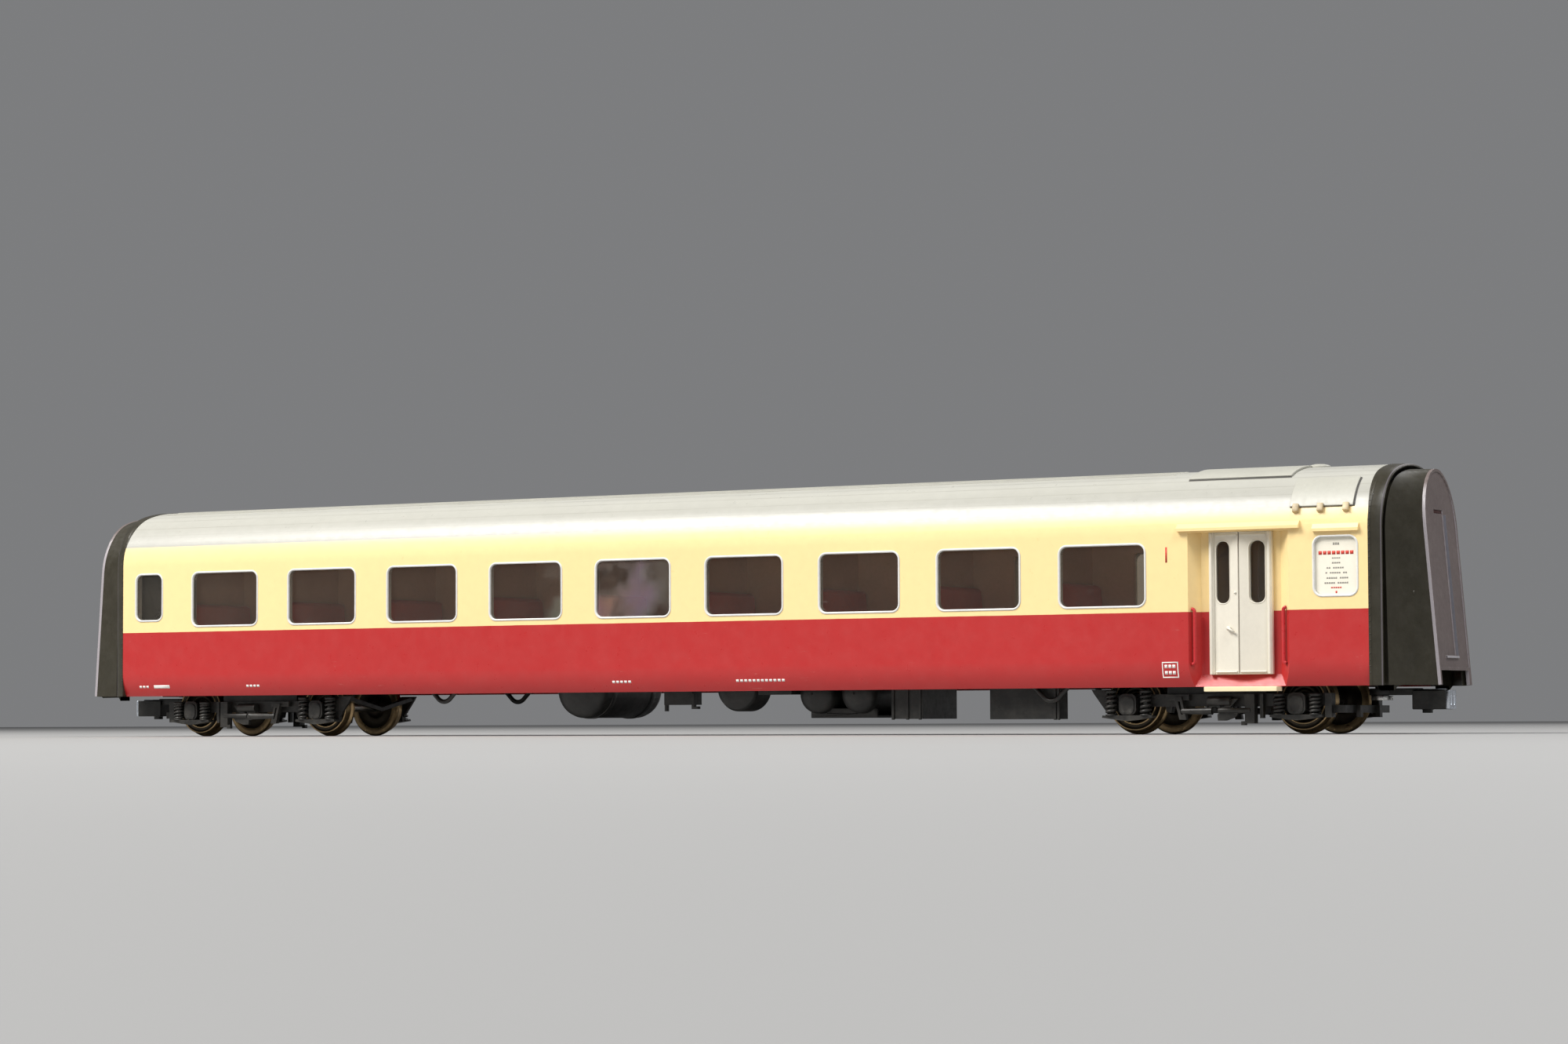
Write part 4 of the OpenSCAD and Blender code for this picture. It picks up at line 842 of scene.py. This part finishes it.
def end_rings(materials):
    """Smooth tapered skin over each end ring, its lip in a paler lilac as painted highlight, and rivets along
    its inboard edge.
    """
    rows = ((-0.02, -0.03, -0.04), (0.15, -0.02, -0.06), (1.05, 0.32, -0.07), (1.95, 0.73, -0.01),
            (2.1, 0.84, 0.07), (2.2, 0.98, 0.2), (2.18, 1.14, 0.4), (2.0, 1.27, 0.52), (0.5, 1.29, 0.54))
    for end, sign in ENDS:
        bm = bmesh.new()
        loops = []
        for along, side, drop in rows:
            loops.append([(RING_FOOT_X + along - (ring_lean(z) if along < 0.2 else 0), y, z)
                          for y, z in straight_section(side, drop)])
        rings(bm, loops, closed_loop=False, cap=False)
        bm.faces.ensure_lookup_table()
        per_row = len(loops[0]) - 1
        # painted highlight: these rows form the lip that takes the paler lilac
        lip_highlight_rows = range(3, 7)
        for index, face in enumerate(bm.faces):
            face.material_index = 1 if index // per_row in lip_highlight_rows else 0
        turned(bm, sign)
        piece = add_piece("end_ring_skin_" + end, bm, [materials["end"], materials["lip"]])
        piece.data.set_sharp_from_angle(angle=math.radians(50))
        bm = bmesh.new()
        for y, z in resampled(straight_section(0, 0), 92)[2:-2]:
            centre = Matrix.Translation(Vector((RING_FOOT_X + 0.2 - ring_lean(z), y * 0.9995, z)) * MM)
            bmesh.ops.create_icosphere(bm, subdivisions=2, radius=0.13 * MM, matrix=centre)
        turned(bm, sign)
        add_piece("ring_rivets_" + end, bm, materials["end"])


def door_details(materials):
    """Window rims, top and kick rails and jamb beads of the folded door leaves, and the handle."""
    door_x, back, fold, half = 112.4, 14.1, 1.1, 5.9
    edge, jamb = back + 0.6, 0.9
    leaf = half - jamb
    lean = math.atan2(fold, leaf)
    bm = bmesh.new()
    for s in (-1, 1):
        def on_leaf(u, proud, z):
            """Point u along the leaf from its outer edge, raised from its face."""
            x = door_x + s * (leaf - u * math.cos(lean) + proud * math.sin(lean))
            return (x, -(edge + u * math.sin(lean) + proud * math.cos(lean)), z)
        mid = (leaf - 3.2) / math.cos(lean)
        rim = [(0.0, -0.3), (0.0, 0.02), (0.06, 0.07), (0.16, 0.07), (0.22, 0.02), (0.22, -0.1)]
        loops = []
        for out, proud in rim:
            outline = round_rect(2.8 + 2 * out, 10.8 + 2 * out, 1.25 + out)
            loops.append([on_leaf(mid + px, proud, 28.2 + pz) for px, pz in outline])
        loops.append(loops[0])
        verts = rings(bm, loops, cap=False)
        bmesh.ops.remove_doubles(bm, verts=verts[0] + verts[-1], dist=1e-7)
        for low, high, proud in ((10.75, 11.0, 0.35), (34.4, 34.9, 0.12)):
            ledge = [(-0.05, low), (proud, low), (proud, high - 0.08), (-0.05, high + 0.06)]
            rings(bm, [[on_leaf(u, p, z) for p, z in ledge] for u in (0.35, leaf / math.cos(lean) - 0.3)])
        x = door_x + s * (half - 0.45)
        tube(bm, [(x, -(edge + 0.33), z) for z in (10.5, 22, 35.0)], 0.3, 12)
    mirrored_y(bm)
    piece = add_piece("door_leaf_trim", bm, materials["door"])
    smooth(piece)
    bm = bmesh.new()
    nose = -(edge + fold)
    tube(bm, [(110.5, nose + 0.6, 18.4), (110.5, nose - 0.25, 18.4)], 0.42, 16)
    tube(bm, [(110.4, nose - 0.2, 18.45), (110.9, nose - 0.36, 18.2), (111.65, nose - 0.34, 17.7)], 0.2, 10)
    tube(bm, [(111.75, nose + 0.4, 24.6), (111.75, nose - 0.05, 24.6)], 0.22, 14)
    mirrored_y(bm)
    add_piece("door_lever", bm, materials["door"], stands_for=["door_handles"])


def rails_and_seam(materials):
    """Grab rails with bent ends, and the dark seam between the door leaves."""
    bm = bmesh.new()
    for rail_x, wall_x in ((104.2, 103.66), (120.8, 121.3)):
        y = -HALF_W + 0.55
        path = [(wall_x, y, 12.25)]
        path += [(wall_x + (rail_x - wall_x) * math.sin(a), y, 12.75 - 0.5 * math.cos(a))
                 for a in (0.5, 0.9, 1.3, math.pi / 2)]
        path += [(rail_x, y, 15.0), (rail_x, y, 19.0)]
        path += [(wall_x + (rail_x - wall_x) * math.cos(a), y, 21.4 + 0.5 * math.sin(a))
                 for a in (0.0, 0.4, 0.8, 1.2)] + [(wall_x, y, 21.9)]
        tube(bm, path, 0.3, 14)
    mirrored_y(bm)
    add_piece("grab_rail_bars", bm, materials["red"], stands_for=["grab_rails"])
    bm = bmesh.new()
    brick(bm, (112.31, -15.53, 10.6), (112.49, -15.46, 35.1))
    mirrored_y(bm)
    add_piece("door_seam", bm, materials["notch"])


def coupler_levers(materials):
    """Bright strip along the top of each coupler."""
    for end, sign in ENDS:
        bm = bmesh.new()
        rings(bm, [[(x, y, z) for y, z in ((-0.75, 7.68), (0.75, 7.68), (0.68, 7.76), (-0.68, 7.76))]
                   for x in (139.6, 144.1)])
        turned(bm, sign)
        add_piece("coupler_lever_" + end, bm, materials["coupler_metal"], end + "_coupler")


def hatch_shadow_lines(materials):
    """Painted shadow: thin dark lines along the lower edges and front ends of the roof hatches."""
    bm = bmesh.new()

    def on_roof(x, degrees, proud):
        reach = CANT[2] + proud
        return (x, -CANT[0] - reach * math.cos(math.radians(degrees)),
                CANT[1] + reach * math.sin(math.radians(degrees)))

    for x0, x1, a0, a1 in ((122.2, 133.85, 20.9, 21.6), (133.8, 134.0, 21, 54.5), (101.2, 120.6, 60.2, 60.9)):
        steps = max(1, round((a1 - a0) / 3))
        angles = [a0 + (a1 - a0) * k / steps for k in range(steps + 1)]
        loops = [[on_roof(x, angles[0], 0.0), *[on_roof(x, a, 0.14) for a in angles],
                  *[on_roof(x, a, 0.0) for a in reversed(angles[1:])]] for x in (x0, x1)]
        rings(bm, loops)
    mirrored_y(bm)
    add_piece("hatch_shadow_lines", bm, materials["seam"])


def printed_marks(materials):
    """Plain bars where the coach carries small printed marks, and plain lines on its boards."""
    face = -HALF_W - 0.012
    white, red, grey = bmesh.new(), bmesh.new(), bmesh.new()
    brick(red, (98.95, face, 30.1), (99.3, face + 0.05, 32.8))
    low, high = (98.1, 9.9), (101.2, 12.7)

    def side_y(z):
        return -(TUCK[0] + math.sqrt(max(0, TUCK[2] ** 2 - min(0, z - TUCK[1]) ** 2))) - 0.012

    def mark(x0, x1, z0, z1):
        steps = max(1, round((z1 - z0) / 0.25))
        levels = [z0 + (z1 - z0) * k / steps for k in range(steps + 1)]
        outline = [(x0, z) for z in levels] + [(x1, z) for z in reversed(levels)]
        rings(white, [[(x, side_y(z) + depth, z) for x, z in outline] for depth in (0.0, 0.05)])

    line = 0.2
    mark(low[0], high[0], low[1], low[1] + line)
    mark(low[0], high[0], high[1] - line, high[1])
    mark(low[0], low[0] + line, low[1], high[1])
    mark(high[0] - line, high[0], low[1], high[1])
    for z in (10.5, 11.6):
        for k in range(3):
            mark(98.6 + 0.75 * k, 99.15 + 0.75 * k, z, z + 0.6)
    for start, end in ((-16.5, -11.5), (11, 21.9), (-104.6, -100.2), (-132.4, -129)):
        steps = int((end - start) / 0.9)
        for k in range(steps):
            mark(start + 0.9 * k, start + 0.9 * k + 0.6, 10.0, 10.45)
    mark(-128.6, -124.5, 9.9, 10.55)
    board = -HALF_W + 0.38
    lines = ((32.4, 0.4, 3, grey), (30.75, 0.62, 8, red), (30.05, 0.2, 4, grey), (29.2, 0.26, 4, grey),
             (28.35, 0.26, 9, grey), (27.5, 0.26, 10, grey), (26.6, 0.28, 11, grey), (25.75, 0.28, 11, grey),
             (24.95, 0.24, 5, red), (24.1, 0.4, 1, red))
    for row, (z, tall, blocks, bm) in enumerate(lines):
        pitch = 0.82 if tall > 0.5 else 0.4
        for k in range(blocks):
            if blocks < 9 or (k + row) % 6:
                x = BOARD_X + (k + 0.5 - blocks / 2) * pitch
                brick(bm, (x - 0.38 * pitch, board, z), (x + 0.38 * pitch, board + 0.05, z + tall))
    for name, bm, look in (("white_marks", white, "white_print"), ("red_marks", red, "red_print"),
                           ("grey_marks", grey, "grey_print")):
        mirrored_y(bm)
        add_piece(name, bm, materials[look])


def make_floor():
    """Plain pale studio floor just under the wheels."""
    bm = bmesh.new()
    corners = [(-3, -3), (3, -3), (3, 3), (-3, 3)]
    bm.faces.new([bm.verts.new((x, y, -0.00001)) for x, y in corners])
    mesh = bpy.data.meshes.new("floor")
    bm.to_mesh(mesh)
    bm.free()
    look = Look("floor_paint", (0.34, 0.34, 0.34), 0.7)
    look.vary(0.005, 0.01)
    mesh.materials.append(look.done())
    floor = bpy.data.objects.new("floor", mesh)
    bpy.context.scene.collection.objects.link(floor)


make_camera()
make_lights()
looks = make_materials()
carry_cad_nodes(looks)
window_frames(looks)
gangway_shells(looks)
springs(looks)
wheelsets(looks)
plate_details(looks)
end_rings(looks)
door_details(looks)
rails_and_seam(looks)
hatch_shadow_lines(looks)
coupler_levers(looks)
printed_marks(looks)
make_floor()
